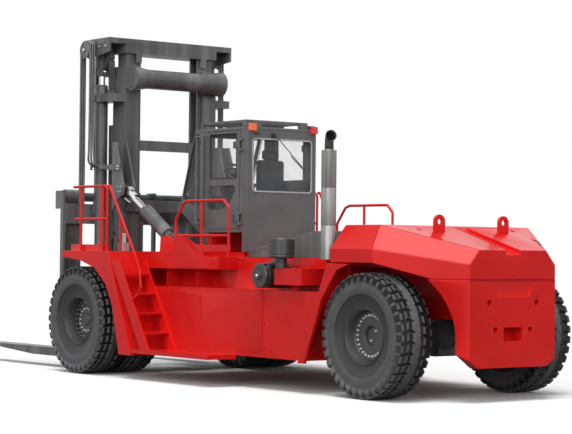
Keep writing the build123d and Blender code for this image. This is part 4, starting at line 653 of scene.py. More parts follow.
def wheels():
    """Tyres, rims and wheel bolts of the dual front wheels and the steered rear wheels."""
    for side, s in SIDES:
        hub = FRONT + Y * s * FRONT_OUT_Y
        shape = bmesh.new()
        tyre(shape, hub)
        tyre(shape, hub - Y * s * DUAL)
        mark_scuff_and_groove_shade(shape, hub)
        publish(
            shape, f"front_tread_{side}", FINISHES["tyre"], f"front_wheels_{side}",
            (f"front_tyres_{side}",),
        )
        shape = bmesh.new()
        lathe(shape, [*FRONT_BACK, *RIM_LIP, *FRONT_DISC], hub, Y * s)
        publish(
            shape, f"front_wheel_disc_{side}", FINISHES["rim_paint"], f"front_wheels_{side}",
            (f"front_rims_{side}",),
        )
        shape = bmesh.new()
        studs = circle_of(hub - Y * s * 0.048, Y, 0.284, 24)
        for place in studs:
            post(shape, place, place + Y * s * 0.105, 0.0095, 10)
        bolts(shape, studs, Y * s, 0.021, 0.050, 0.026)
        bolts(shape, circle_of(hub + Y * s * 0.038, Y, 0.170, 16), Y * s, 0.013, 0.016, 0.017)
        publish(shape, f"front_studs_{side}", FINISHES["bright_steel"], f"front_wheels_{side}")

        hub = REAR + Y * s * REAR_OUT_Y
        shape = bmesh.new()
        tyre(shape, hub)
        mark_scuff_and_groove_shade(shape, hub)
        publish(
            shape, f"rear_tread_{side}", FINISHES["tyre"], f"rear_wheel_{side}",
            (f"rear_tyre_{side}",),
        )
        shape = bmesh.new()
        lathe(shape, [*REAR_BACK, *RIM_LIP, *REAR_DISC], hub, Y * s)
        publish(
            shape, f"rear_wheel_disc_{side}", FINISHES["rim_paint"], f"rear_wheel_{side}",
            (f"rear_rim_{side}",),
        )
        shape = bmesh.new()
        bolts(shape, circle_of(hub + Y * s * 0.076, Y, 0.262, 26), Y * s, 0.015, 0.022, 0.019)
        bolts(shape, circle_of(hub + Y * s * 0.034, Y, 0.078, 2, 0.3), Y * s, 0.014, 0.018, 0.018)
        publish(shape, f"rear_wheel_bolts_{side}", FINISHES["bright_steel"], f"rear_wheel_{side}")
# ------------------------------------------------------------------ rounded plate work
ROUNDED = (  # node, radius of its edges
    ("counterweight", 0.012), ("lower_weight", 0.012), ("tail_frame", 0.006), ("chassis", 0.005),
    ("fenders", 0.004), ("arch_panels", 0.004), ("side_tanks", 0.005), ("engine_hood", 0.008),
    ("stairs", 0.002), ("cab_floor", 0.005), ("cab_front", 0.004), ("cab_rear", 0.004),
    ("cab_roof", 0.008), ("roof_guard", 0.002), ("door_left", 0.004), ("door_right", 0.004),
    ("outer_mast", 0.004), ("inner_mast", 0.004), ("mast_top_tube", 0.006), ("tilt_brackets", 0.004),
    ("tilt_feet", 0.004), ("tilt_barrel_left", 0.004), ("tilt_barrel_right", 0.004),
    ("tilt_rod_left", 0.002), ("tilt_rod_right", 0.002), ("lift_barrels", 0.003), ("lift_rods", 0.002),
    ("carriage", 0.004), ("fork_left", 0.006), ("fork_right", 0.006), ("sheaves", 0.003),
    ("drive_axle", 0.005), ("steer_axle", 0.004), ("knuckle_left", 0.004), ("knuckle_right", 0.004),
    ("cleaner_box", 0.003), ("lifting_eyes", 0.006),
    ("lamp_brackets", 0.002), ("orange_lamps", 0.003), ("red_lamps", 0.003), 
    ("steering_console", 0.004), ("engine", 0.006),
)

# ------------------------------------------------------------------ rails
RAIL_R, RAIL_BEND = 0.020, 0.095
RAIL_Y, CAB_RAIL_Y = 1.955, 1.484
DECK, REAR_DECK = 1.830, 1.765


def rails():
    """Smoothly bent tube rails round the walkways, with flat posts, toe boards and gussets."""
    for side, s in SIDES:
        def bar(shape, stations, y, radius=RAIL_R, bend=RAIL_BEND):
            """One rail through stations of (distance behind the front axle, height)."""
            bent_tube(shape, [(FRONT.x - back, s * y, height) for back, height in stations], radius, bend)

        shape = bmesh.new()
        top = DECK + 0.950
        bar(shape, [(-0.080, top), (0.850, top), (0.850, DECK)], RAIL_Y, bend=0.075)
        bar(shape, [(-0.040, top - 0.480), (0.850, top - 0.480)], RAIL_Y)
        bar(shape, [(0.130, DECK), (0.130, top)], RAIL_Y)
        for back in (0.130, 0.850):
            post(shape, (FRONT.x - back, s * RAIL_Y, DECK), (FRONT.x - back, s * RAIL_Y, DECK + 0.012), 0.029)
        slab(shape, (FRONT.x - 0.750, s * RAIL_Y - 0.008, DECK), (FRONT.x - 0.660, s * RAIL_Y + 0.008, top))
        publish(
            shape, f"walkway_rail_{side}", FINISHES["red_paint"], "truck",
            ("handrails",) if s > 0 else (),
        )
        shape = bmesh.new()
        bar(shape, [
            (1.935, DECK), (1.935, 2.280), (2.130, 2.520), (2.230, 2.550), (3.100, 2.550),
            (3.220, 2.440), (3.220, REAR_DECK),
        ], CAB_RAIL_Y, bend=0.060)
        bar(shape, [(2.570, DECK), (2.570, 2.550)], CAB_RAIL_Y)
        bar(shape, [(1.935, 2.060), (3.220, 2.060)], CAB_RAIL_Y)
        slab(
            shape, (FRONT.x - 3.260, s * CAB_RAIL_Y - 0.006, DECK + 0.010),
            (FRONT.x - 2.200, s * CAB_RAIL_Y + 0.006, DECK + 0.105),
        )
        prism(shape, [
            (FRONT.x - 1.940, s * 1.5003, 1.610), (FRONT.x - 1.940, s * 1.5003, 2.070),
            (FRONT.x - 2.130, s * 1.5003, 2.050), (FRONT.x - 2.800, s * 1.5003, 1.610),
        ], Y * s * 0.010)
        publish(
            shape, f"cab_side_rail_{side}", FINISHES["red_paint"], "truck",
            ("cab_rails",) if s > 0 else (),
        )


# ------------------------------------------------------------------ cab
CAB_X, CAB_Y = FRONT.x - 2.480, 0.620  # back wall and side walls
SILL, HEAD, WINDOW_HALF = 2.700, 3.480, 0.545


def window_seal(shape, outline, out, width=0.022, depth=0.010):
    """A rubber profile round a pane: a closed ring, its outline drawn in by width and raised by depth."""
    out = Vector(out)
    middle = sum(outline, Vector()) / len(outline)
    drawn_in = []
    for index, point in enumerate(outline):
        before = out.cross(point - outline[index - 1]).normalized()
        after = out.cross(outline[(index + 1) % len(outline)] - point).normalized()
        if before.dot(middle - point) < 0:
            before, after = -before, -after
        drawn_in.append(point + (before + after) / (1 + before.dot(after)) * width)
    rings = [
        [shape.verts.new(point + out * rise) for point in path]
        for path, rise in ((outline, 0), (outline, depth), (drawn_in, depth), (drawn_in, 0))
    ]
    for ring, following in zip(rings, rings[1:] + rings[:1]):
        for index in range(len(outline)):
            shape.faces.new((ring[index - 1], ring[index], following[index], following[index - 1]))


def rounded_outline(corners, radius, steps=4):
    """A closed outline with its corners rounded by a bevel."""
    shape = bmesh.new()
    shape.faces.new([shape.verts.new(point) for point in corners])
    bmesh.ops.bevel(
        shape, geom=shape.verts[:], offset=radius, segments=steps, profile=0.5, affect="VERTICES",
        material=-1, offset_type="OFFSET", clamp_overlap=True,
    )
    points = [vert.co.copy() for vert in shape.faces[:][0].verts]
    shape.free()
    return points


def cab_details():
    """Window seals, wiper, door furniture and what shows through the glass."""
    rubber = bmesh.new()
    back = CAB_X - 0.0005
    rear = rounded_outline([
        (back, WINDOW_HALF, SILL), (back, -WINDOW_HALF, SILL),
        (back, -WINDOW_HALF, HEAD), (back, WINDOW_HALF, HEAD),
    ], 0.055)
    window_seal(rubber, rear, -X)
    publish(rubber, "rear_window_seal", FINISHES["pale_seal"], "truck", rounding=0.002)

    # wiper: motor cover, arm and blade
    shape = bmesh.new()
    pivot = Vector((CAB_X, 0.180, 3.530))
    post(shape, pivot, pivot - X * 0.045, 0.032, 20)
    post(shape, pivot - X * 0.045, pivot - X * 0.060, 0.018, 16)
    tip = Vector((CAB_X - 0.050, -0.330, 3.080))
    bent_tube(shape, [pivot - X * 0.052, pivot - X * 0.052 + (tip - pivot) * 0.15, tip], 0.007, 0.01, 8)
    way = (tip - pivot).normalized()
    middle = tip + X * 0.025
    post(shape, middle - way * 0.240, middle + way * 0.100, 0.008, 6)
    slab(shape, (CAB_X - 0.030, 0.420, 3.540), (CAB_X, 0.520, 3.556))
    publish(shape, "rear_wiper", FINISHES["black_plastic"], "truck")

    for side, s in SIDES:
        # door furniture
        shape = bmesh.new()
        y = s * (CAB_Y + 0.005)
        latch = Vector((FRONT.x - 1.560, y, 2.560))
        corner = Vector((0.045, 0, 0.060))
        slab(shape, latch - corner - Y * 0.004, latch + corner + Y * 0.018 * s)
        bent_tube(shape, [
            latch + Y * s * 0.012, latch + Y * s * 0.050, latch + Y * s * 0.050 - X * 0.13
        ], 0.010, 0.02)
        for height in (2.320, 3.380):
            slab(
                shape, (FRONT.x - 2.200, min(y, y + s * 0.008), height - 0.050),
                (FRONT.x - 2.130, max(y, y + s * 0.008), height + 0.050),
            )
        bolts(shape, [
            (FRONT.x - back_x, y + s * 0.008, height + rise)
            for height in (2.320, 3.380) for rise in (-0.025, 0.025) for back_x in (2.150, 2.180)
        ], Y * s, 0.008, 0.006)
        publish(
            shape, f"door_furniture_{side}", FINISHES["black_plastic"], f"door_{side}",
            rounding=0.002,
        )
        shape = bmesh.new()
        y = s * (CAB_Y + 0.0052)
        upper = rounded_outline([
            (FRONT.x - 2.215, y, 2.900), (FRONT.x - 2.215, y, 3.560), (FRONT.x - 1.545, y, 3.560),
            (FRONT.x - 1.545, y, 2.900),
        ], 0.020)
        window_seal(shape, upper, Y * s, 0.014, 0.008)
        publish(
            shape, f"door_seal_{side}", FINISHES["rubber"], f"door_{side}", rounding=0.002
        )
        # gasket of the quarter pane
        shape = bmesh.new()
        pane_y = s * (CAB_Y + 0.0003)
        gasket = rounded_outline([
            (FRONT.x - 1.000, pane_y, 2.560), (FRONT.x - 0.865, pane_y, 2.640),
            (FRONT.x - 0.865, pane_y, 2.720), (FRONT.x - 1.150, pane_y, 3.560),
            (FRONT.x - 1.265, pane_y, 3.560), (FRONT.x - 1.265, pane_y, 2.515),
        ], 0.020)
        window_seal(shape, gasket, Y * s, 0.012, 0.006)
        publish(
            shape, f"quarter_seal_{side}", FINISHES["rubber"], "truck", rounding=0.0015
        )

    # seat: cushion, back and head rest
    for name, low, high, cut in (
        ("seat_cushion", (-0.355, -0.240, 2.475), (0.085, 0.240, 2.600), 0.045),
        ("seat_back", (-0.470, -0.235, 2.600), (-0.362, 0.235, 3.180), 0.045),
        ("seat_head_rest", (-0.465, -0.140, 3.185), (-0.375, 0.140, 3.330), 0.040),
    ):
        cushion = bmesh.new()
        slab(cushion, low, high)
        bmesh.ops.bevel(
            cushion, geom=cushion.edges[:], offset=cut, segments=4, profile=0.5, affect="EDGES",
            material=-1, offset_type="OFFSET", clamp_overlap=True,
        )
        pad = publish(
            cushion, name, FINISHES["seat_cloth"], "truck",
            ("seat",) if name == "seat_cushion" else (),
        )
    shape = bmesh.new()
    for step in range(6):
        height = 2.200 + 0.042 * step
        lathe(shape, [(0.150, 0), (0.165, 0.021), (0.150, 0.042)], (-0.140, 0, height), Z, 24)
    slab(shape, (-0.330, -0.200, 2.452), (0.060, 0.200, 2.478))
    slab(shape, (-0.340, -0.200, 2.1655), (0.060, 0.200, 2.200))
    for s in (1, -1):
        slab(shape, (-0.420, s * 0.290 - 0.035, 2.780), (0.000, s * 0.290 + 0.035, 2.835))
        slab(shape, (-0.420, s * 0.290 - 0.012, 2.520), (-0.380, s * 0.290 + 0.012, 2.790))
        slab(shape, (-0.420, s * 0.265 - 0.030, 2.500), (-0.340, s * 0.265 + 0.030, 2.530))
    # control box and levers on the right, and the shelf under the rear window
    slab(shape, (0.000, -0.420, 2.780), (0.160, -0.300, 2.880))
    for step in range(4):
        foot = Vector((0.030 + 0.032 * step, -0.360, 2.880))
        post(shape, foot, foot + Z * 0.070, 0.006, 8)
        post(shape, foot + Z * 0.062, foot + Z * 0.095, 0.012, 12, 0.010)
    publish(shape, "seat_frame", FINISHES["black_plastic"], "truck", rounding=0.006)
    shape = bmesh.new()
    slab(shape, (CAB_X + 0.060, -0.530, 2.770), (CAB_X + 0.130, -0.130, 2.880))
    for step in range(8):
        y = -0.510 + 0.046 * step
        slab(shape, (CAB_X + 0.056, y, 2.785), (CAB_X + 0.060, y + 0.030, 2.865))
    slab(shape, (CAB_X + 0.046, -0.500, 2.640), (CAB_X + 0.120, -0.160, 2.770))
    publish(shape, "rear_vent", FINISHES["black_plastic"], "truck", rounding=0.003)

    # steering wheel
    shape = bmesh.new()
    middle, tilt = Vector((FRONT.x - 1.338, 0, 3.002)), Vector((-0.53, 0, 0.85))
    turn = across(tilt)
    at_rim = Matrix.Translation(middle + turn @ Vector((0.180, 0, 0)))
    ring = bmesh.ops.create_circle(
        shape, cap_ends=False, radius=0.015, segments=10,
        matrix=at_rim @ turn.to_4x4() @ Matrix.Rotation(pi / 2, 4, "X"),
    )["verts"]
    loop = ring + list({edge for vert in ring for edge in vert.link_edges})
    bmesh.ops.spin(shape, geom=loop, cent=middle, axis=tilt, angle=2 * pi, steps=32, use_merge=True)
    for step in range(3):
        arm = turn @ Vector((cos(2 * pi * step / 3), sin(2 * pi * step / 3), 0))
        post(shape, middle - tilt * 0.020, middle + arm * 0.170, 0.011, 8)
    post(shape, middle - tilt.normalized() * 0.040, middle + tilt.normalized() * 0.008, 0.042, 20)
    publish(shape, "steering_wheel", FINISHES["black_plastic"], "truck")


# ------------------------------------------------------------------ mast
CHAIN_X, CHAIN_Y, CHAIN_TOP = FRONT.x + 0.860, 0.950, 4.820
PITCH = 0.050
PLATE_ROWS = (-0.048, -0.034, -0.020, -0.006, 0.008, 0.022, 0.036)  # across the chain
PLATE_T, PIN_HALF, PIN_R = 0.012, 0.056, 0.0085


def link_plate(shape, place, along, out, y, thick):
    """One plate of a leaf chain: a waisted outline a pitch and a half long."""
    half, width = PITCH * 0.74, 0.0155
    outline = [
        (-half, 0), (-half * 0.82, width * 0.8), (-half * 0.5, width), (0, width * 0.72), (half * 0.5, width),
        (half * 0.82, width * 0.8), (half, 0), (half * 0.82, -width * 0.8), (half * 0.5, -width),
        (0, -width * 0.72), (-half * 0.5, -width), (-half * 0.82, -width * 0.8),
    ]
    prism(shape, [place + along * a + out * b + Y * y for a, b in outline], Y * thick)


def chain_run(shape, start, count):
    """A straight run of leaf chain: plates side by side, their pins showing at both edges."""
    for step in range(count):
        place = start + Z * PITCH * step
        for row, y in enumerate(PLATE_ROWS):
            link_plate(shape, place + Z * PITCH * (0.5 if row % 2 else 0.0), Z, X, y, PLATE_T)
        pin = place + Z * PITCH * 0.25
        post(shape, pin - Y * PIN_HALF, pin + Y * PIN_HALF, PIN_R, 8)


def chain_wrap(shape, centre, radius, steps):
    """Leaf chain over the top of its sheave, from one straight run to the other."""
    plates = bmesh.new()
    start = centre + X * radius
    for row, y in enumerate(PLATE_ROWS):
        link_plate(plates, start + Z * (PITCH * 0.5 if row % 2 else 0.0), Z, X, y, PLATE_T)
    bmesh.ops.spin(
        plates, geom=plates.verts[:] + plates.edges[:] + plates.faces[:], cent=centre, axis=-Y,
        angle=pi * (steps - 1) / steps, steps=steps - 1, use_duplicate=True,
    )
    pour(plates, shape)


def chains():
    """Leaf chains from the mast over their sheaves down to the carriage."""
    radius = 0.194
    for side, s in SIDES:
        centre = Vector((CHAIN_X, s * CHAIN_Y, CHAIN_TOP))
        front, back = bmesh.new(), bmesh.new()
        chain_run(front, centre + X * radius - Z * 2.170, 43)
        run = publish(
            front, f"front_chain_{side}", FINISHES["chain_steel"], "lift_frame",
            ("front_chains",) if s > 0 else (),
        )
        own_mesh(run)
        wrap = bmesh.new()
        chain_wrap(wrap, centre, radius, 12)
        publish(wrap, f"sheave_chain_{side}", FINISHES["chain_steel"], "lift_frame")
        chain_run(back, centre - X * radius - Z * 0.465, 9)
        publish(
            back, f"rear_chain_{side}", FINISHES["chain_steel"], "mast",
            ("rear_chains",) if s > 0 else (),
        )


def centreline(route):
    """A smooth curve with the route's points as its control points, and the line that it follows."""
    curve = bpy.data.curves.new("route", "CURVE")
    curve.dimensions = "3D"
    spline = curve.splines.new("NURBS")
    spline.points.add(len(route) - 1)
    for point, place in zip(spline.points, route):
        point.co = (*place, 1)
    spline.order_u, spline.use_endpoint_u = 3, True
    spline.resolution_u = 12
    trial = bpy.data.objects.new("route", curve)
    bpy.context.scene.collection.objects.link(trial)
    bpy.context.view_layer.update()
    flat = bpy.data.meshes.new_from_object(trial)
    line = [vert.co.copy() for vert in flat.vertices]
    bpy.data.objects.remove(trial)
    bpy.data.meshes.remove(flat)
    return curve, line


def hose(name, route, radius, finish, body):
    """A flexible hose that leaves the truck at the route's first point and joins it again at the last."""
    curve, line = centreline([Vector(point) for point in route])
    curve.name = name
    curve.bevel_depth, curve.bevel_resolution, curve.use_fill_caps = radius, 3, True
    curve.materials.append(FINISHES[finish])
    piece = bpy.data.objects.new(name, curve)
    bpy.context.scene.collection.objects.link(piece)
    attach(piece, body)


HOSE_FOOT_Z = 2.561  # top of the plate on the carriage
HOSE_ARM_Y, HOSE_ARM_Z = 1.1255, 3.135  # outer face of the arm on the mast
HOSE_SHEAVE_X, HOSE_SHEAVE_Z = FRONT.x + 0.925, 4.950
HOSE_REACH, HOSE_R, HOSE_ROWS = 0.134, 0.0165, (1.192, 1.229, 1.266)


def mast_hoses():
    """Hoses over the hose sheaves: the front run goes to the carriage, the rear run down the mast."""
    for side, s in SIDES:
        for number, y in enumerate(HOSE_ROWS):
            centre = Vector((HOSE_SHEAVE_X, s * y, HOSE_SHEAVE_Z))
            foot = Vector((centre.x + HOSE_REACH, centre.y, HOSE_FOOT_Z))
            tangent = Vector((foot.x, foot.y, centre.z))
            shape = bmesh.new()
            post(shape, foot, tangent, HOSE_R, 12)
            run = publish(
                shape, f"carriage_hose_{side}_{number}", FINISHES["hose"], "lift_frame"
            )
            line = centreline([foot, (foot + tangent) / 2, tangent])[1]
            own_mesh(run)
            back = centre - X * HOSE_REACH
            held = Vector((back.x + 0.036 * (number - 1), s * HOSE_ARM_Y, HOSE_ARM_Z))
            hose(f"mast_hose_{side}_{number}", [
                held, (held.x, back.y, held.z + 0.025), (back.x, back.y, held.z + 0.260), back,
                (back.x, back.y, centre.z + HOSE_REACH), (foot.x, foot.y, centre.z + HOSE_REACH), tangent,
            ], HOSE_R, "hose", "lift_frame")


def mast_fittings():
    """Pipe channel, cylinder collars, hose clamps, bolts and pin caps on the mast."""
    for side, s in SIDES:
        y = s * 0.862
        shape = bmesh.new()
        # channel on the outer rail, with pipes clipped along it
        for low_x, high_x, out in ((2.478, 2.484, 0.060), (2.478, 2.546, 0.008), (2.540, 2.546, 0.060)):
            near, far = sorted((y, y + s * out))
            slab(shape, (low_x, near, 1.720), (high_x, far, 3.790))
        for x in (2.498, 2.520):
            post(shape, (x, y + s * 0.024, 1.730), (x, y + s * 0.024, 3.780), 0.0095, 10)
        for step in range(5):
            height = 1.950 + 0.420 * step
            near, far = sorted((y, y + s * 0.045))
            slab(shape, (2.484, near, height), (2.540, far, height + 0.030))
        # collars round the lift cylinder
        for height in (1.760, 2.500, 3.150):
            lathe(
                shape, [(0.095, -0.018), (0.104, -0.018), (0.104, 0.018), (0.095, 0.018)],
                (CHAIN_X, s * 1.000, height), Z, 32,
            )
        lathe(
            shape, [(0.050, 0.0), (0.092, 0.0), (0.092, 0.040), (0.070, 0.062), (0.050, 0.062)],
            (CHAIN_X, s * 1.000, 4.3605), Z, 32,
        )
        # plates under the hose arm
        slab(shape, (2.505, s * 1.196 - 0.072, 3.085), (2.615, s * 1.196 + 0.006, 3.092))
        slab(shape, (2.688, s * 1.196 - 0.072, 3.085), (2.738, s * 1.196 - 0.060, 3.150))
        publish(shape, f"pipe_channel_{side}", FINISHES["mast_paint"], "mast", rounding=0.0015)

        shape = bmesh.new()
        arm = s * 1.125
        bolts(shape, [
            (x, arm, height) for x in (1.945, 1.985) for height in (3.088, 3.130)
        ], Y * s, 0.011, 0.010, 0.015)
        pin = Vector((FRONT.x + 0.190, s * 1.097, 2.780))
        bolts(shape, circle_of(pin, Y, 0.055, 4, 0.5), Y * s, 0.009, 0.009, 0.013)
        publish(shape, f"mast_bolts_{side}", FINISHES["bright_steel"], "mast")

        shape = bmesh.new()
        for x in (2.300, 2.480):
            bolts(shape, [(x, s * 1.158, 5.000)], Y * s, 0.012, 0.0105, 0.018)
        publish(shape, f"crosshead_bolts_{side}", FINISHES["bright_steel"], "lift_frame")
        shape = bmesh.new()
        lathe(
            shape, [(0.0, 0.010), (0.020, 0.010), (0.026, 0.004), (0.026, -0.004), (0.0, -0.004)],
            (HOSE_SHEAVE_X, s * 1.309, HOSE_SHEAVE_Z), Y * s, 20,
        )
        publish(shape, f"sheave_cap_{side}", FINISHES["bright_steel"], "lift_frame")


# ------------------------------------------------------------------ body fittings
def body_fittings():
    """Bolts on the hull, the air cleaner and the exhaust."""
    for side, s in SIDES:
        shape = bmesh.new()
        hull = s * 1.5003
        # one button on the valance, and three down the joint of the side panel
        bolts(shape, [(FRONT.x - 2.900, hull, 1.690)], Y * s, 0.016, 0.008)
        bolts(shape, [(FRONT.x - 4.075, hull, z) for z in (0.560, 0.880, 1.240)], Y * s, 0.016, 0.008)
        publish(shape, f"hull_bolts_{side}", FINISHES["red_paint"], "truck")

    # drum and canister of the air cleaner
    shape = bmesh.new()
    drum = Vector((FRONT.x - 4.510, 1.560, 1.760))
    lathe(shape, [
        (0.0, 0.000), (0.150, 0.000), (0.168, 0.008), (0.175, 0.020), (0.175, 0.030), (0.171, 0.034),
        (0.171, 0.052), (0.175, 0.056), (0.175, 0.225), (0.1745, 0.250), (0.165, 0.262), (0.0, 0.265),
    ], drum, Z, 48)
    lathe(shape, [(0.0, -0.1297), (0.075, -0.1297), (0.075, 0.0), (0.0, 0.0)], drum, Z, 32)
    lathe(shape, [(0.075, -0.060), (0.082, -0.056), (0.082, -0.036), (0.075, -0.032)], drum, Z, 32)
    can = Vector((FRONT.x - 4.110, 1.1503, 1.525))
    lathe(shape, [
        (0.0, 0.0), (0.155, 0.0), (0.165, 0.012), (0.165, 0.120), (0.170, 0.124), (0.170, 0.146),
        (0.165, 0.150),
        (0.165, 0.410), (0.1645, 0.418), (0.160, 0.420), (0.160, 0.440), (0.165, 0.442), (0.165, 0.468),
        (0.150, 0.4797), (0.060, 0.4800), (0.056, 0.500), (0.045, 0.5045), (0.0, 0.5045),
    ], can, Y, 48)
    bent_tube(shape, [
        (drum.x, 1.470, 1.600), (drum.x + 0.10, 1.470, 1.700),
        (can.x - 0.10, 1.470, 1.690), (can.x - 0.05, 1.470, 1.600),
    ], 0.055, 0.060, 20, 8)
    for turn in range(4):
        way = Vector((cos(turn * pi / 2 + 0.5), 0, sin(turn * pi / 2 + 0.5)))
        middle = can + Y * 0.430 + way * 0.165
        slab(shape, middle - Vector((0.012, 0.035, 0.012)), middle + Vector((0.012, 0.035, 0.012)))
    publish(
        shape, "air_cleaner_bodies", FINISHES["black_plastic"], "truck", ("air_cleaner",),
        rounding=0.002,
    )
    shape = bmesh.new()
    lathe(
        shape, [(0.0, 0.0), (0.022, 0.0), (0.022, 0.012), (0.012, 0.020), (0.0, 0.020)],
        (can.x, 1.6548, can.z), Y, 20,
    )
    publish(shape, "cleaner_cap", FINISHES["bright_steel"], "truck")

    # exhaust: guard with its straps' grooves, and the outlet turned to the rear
    shape = bmesh.new()
    foot = Vector((FRONT.x - 5.310, 1.415, 1.750))
    lathe(shape, [
        (0.0, 0.0), (0.094, 0.0), (0.098, 0.004), (0.098, 0.430), (0.0965, 0.433), (0.0965, 0.441),
        (0.098, 0.444), (0.098, 0.915), (0.0965, 0.918), (0.0965, 0.926), (0.098, 0.929),
        (0.098, 1.404), (0.094, 1.410), (0.066, 1.410), (0.060, 1.424), (0.0, 1.424),
    ], foot, Z, 48)
    slab(shape, (foot.x - 0.060, 1.0903, 1.780), (foot.x + 0.060, 1.415, 1.860))
    publish(shape, "exhaust_guard", FINISHES["steel"], "truck", ("exhaust",))
    shape = bmesh.new()
    ring = bmesh.ops.create_circle(
        shape, cap_ends=False, radius=0.058, segments=28,
        matrix=Matrix.Translation(foot + Z * 1.420),
    )["verts"]
    edges = list({edge for vert in ring for edge in vert.link_edges})
    made = bmesh.ops.extrude_edge_only(shape, edges=edges)["geom"]
    verts = [item for item in made if isinstance(item, bmesh.types.BMVert)]
    bmesh.ops.translate(shape, verts=verts, vec=Z * 0.090)
    edges = [edge for edge in {e for v in verts for e in v.link_edges} if all(v in verts for v in edge.verts)]
    axis = Vector((-0.47, -0.88, 0))  # the outlet looks back and a little outwards
    elbow = foot + Z * 1.510 + Z.cross(axis) * -0.075
    made = bmesh.ops.spin(shape, geom=edges, cent=elbow, axis=axis, angle=pi / 2.2, steps=10)["geom_last"]
    verts = [item for item in made if isinstance(item, bmesh.types.BMVert)]
    edges = [item for item in made if isinstance(item, bmesh.types.BMEdge)]
    middle = sum((vert.co for vert in verts), Vector()) / len(verts)
    onward = (middle - elbow).cross(axis).normalized()
    onward = onward if onward.x < 0 else -onward
    made = bmesh.ops.extrude_edge_only(shape, edges=edges)["geom"]
    verts = [item for item in made if isinstance(item, bmesh.types.BMVert)]
    bmesh.ops.translate(shape, verts=verts, vec=onward * 0.060)
    for vert in verts:
        vert.co += (vert.co - middle - onward * 0.060) * 0.28
    edges = [edge for edge in {e for v in verts for e in v.link_edges} if all(v in verts for v in edge.verts)]
    pipe = publish(shape, "exhaust_outlet", FINISHES["soot"], "truck")
    wall = pipe.modifiers.new("wall", "SOLIDIFY")
    wall.thickness, wall.offset = 0.004, -1


# ------------------------------------------------------------------ hoses on the truck
def truck_hoses():
    """Hoses between the rear wheels, and the loops and valves on the front deck."""
    for side, s in SIDES:
        # from the axle's top to the king pin yoke's inner face
        for number in range(3):
            start, end = s * (0.100 + 0.055 * number), 0.960 - 0.050 * number
            hose(f"steering_hose_{side}_{number}", [
                (-4.5609, start, 0.8236), (-4.600, start, 0.980), (-4.520, s * 0.500, 1.000),
                (-4.330, s * 0.560, end), (-4.330, s * 0.6995, end),
            ], 0.015, "rubber", "truck")
        for number, (x, y, height, run) in enumerate((
            (FRONT.x + 0.100, 1.260, 0.300, 0.260), (FRONT.x + 0.020, 1.320, 0.240, 0.300),
            (FRONT.x - 0.060, 1.380, 0.200, 0.240), (FRONT.x + 0.160, 1.400, 0.160, 0.200),
        )):
            hose(f"deck_hose_{side}_{number}", [
                (x, s * y, 1.8302), (x, s * y, DECK + height), (x - run, s * (y + 0.05), DECK + height),
                (x - run, s * (y + 0.05), 1.8302),
            ], 0.014, "rubber", "truck")
        shape = bmesh.new()
        # valve block with its fittings
        near, far = sorted((s * 1.230, s * 1.330))
        slab(shape, (FRONT.x - 0.330, near, 1.8303), (FRONT.x - 0.150, far, 1.960))
        for step in range(3):
            foot = Vector((FRONT.x - 0.290 + 0.050 * step, s * 1.280, 1.960))
            post(shape, foot, foot + Z * 0.030, 0.017, 6)
            post(shape, foot + Z * 0.030, foot + Z * 0.110, 0.012, 12)
            post(shape, foot + Z * 0.110, foot + Z * 0.140, 0.016, 6)
        publish(shape, f"valve_block_{side}", FINISHES["bright_steel"], "truck", rounding=0.002)
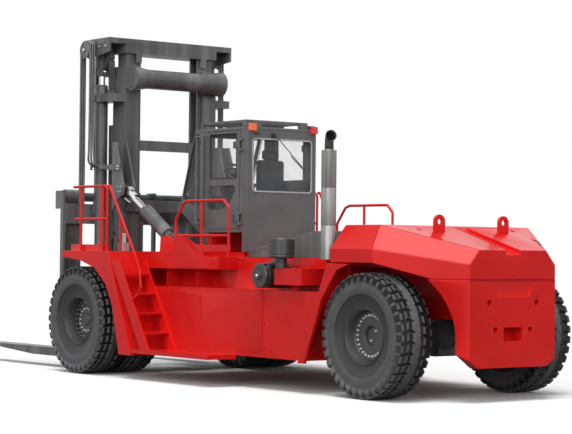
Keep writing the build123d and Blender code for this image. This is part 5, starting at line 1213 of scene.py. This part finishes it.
# ------------------------------------------------------------------ studio
def studio():
    """White floor and surroundings, one large key lamp and two fills."""
    world = bpy.data.worlds.new("studio")
    bpy.context.scene.world = world
    world.use_nodes = True
    tree = world.node_tree
    sky = tree.nodes["Background"]
    rays = tree.nodes.new("ShaderNodeLightPath")
    seen = Wire(tree, rays.outputs["Is Camera Ray"]).highest(
        Wire(tree, rays.outputs["Is Transmission Ray"])
    ).highest(Wire(tree, rays.outputs["Is Glossy Ray"]) * SKY_SHEEN)
    strength = seen * (1 - WORLD_LIGHT) + WORLD_LIGHT
    tree.links.new(strength.socket, sky.inputs["Strength"])
    sky.inputs["Color"].default_value = (1, 1, 1, 1)

    plate = bmesh.new()
    bmesh.ops.create_grid(plate, x_segments=1, y_segments=1, size=FLOOR_HALF)
    mesh = bpy.data.meshes.new("floor")
    plate.to_mesh(mesh)
    plate.free()
    floor = bpy.data.objects.new("floor", mesh)
    bpy.context.scene.collection.objects.link(floor)
    pale = Finish("floor", (0.95, 0.95, 0.95), 0.9)
    pale.shader.inputs["Specular IOR Level"].default_value = 0.1
    mesh.materials.append(pale.material)
    tree = pale.tree
    rays = tree.nodes.new("ShaderNodeLightPath")
    seen = Wire(tree, rays.outputs["Is Camera Ray"]).highest(
        Wire(tree, rays.outputs["Is Transmission Ray"])
    ).highest(Wire(tree, rays.outputs["Is Glossy Ray"]) * 0.35)
    glow = tree.nodes.new("ShaderNodeEmission")
    glow.inputs["Strength"].default_value = FLOOR_GLOW
    bright = tree.nodes.new("ShaderNodeAddShader")
    tree.links.new(pale.shader.outputs[0], bright.inputs[0])
    tree.links.new(glow.outputs[0], bright.inputs[1])
    dim = tree.nodes.new("ShaderNodeBsdfDiffuse")
    dim.inputs["Color"].default_value = (*FLOOR_BOUNCE, 1)
    gate = tree.nodes.new("ShaderNodeMixShader")
    tree.links.new(seen.socket, gate.inputs[0])
    tree.links.new(dim.outputs[0], gate.inputs[1])
    tree.links.new(bright.outputs[0], gate.inputs[2])
    tree.links.new(gate.outputs[0], tree.nodes["Material Output"].inputs["Surface"])

    for name, towards, strength, spread in LAMPS:
        lamp = bpy.data.objects.new(name, bpy.data.lights.new(name, "SUN"))
        lamp.data.energy, lamp.data.angle = strength, radians(spread)
        lamp.rotation_euler = Vector(towards).to_track_quat("Z", "Y").to_euler()
        bpy.context.scene.collection.objects.link(lamp)


WORLD_LIGHT = 0.30
SKY_SHEEN = 1.0  # how bright the backdrop stands in reflections
FLOOR_HALF = 120
FLOOR_GLOW = 0.0
FLOOR_BOUNCE = (0.12, 0.12, 0.12)
LAMPS = (  # name, direction to the lamp, strength, degrees across
    ("overhead", (-0.20, 0.25, 1.0), 2.15, 30),
    ("side_fill", (-0.45, 0.85, 0.38), 1.25, 40),
    ("stern_fill", (-1.0, 0.25, 0.35), 0.75, 40),
)

set_camera()
studio()
dress_cad()
bpy.context.scene.view_settings.view_transform = "Standard"
for node, rounding in ROUNDED:
    soften(node, rounding)
wheels()
rails()
cab_details()
chains()
mast_hoses()
mast_fittings()
body_fittings()
truck_hoses()
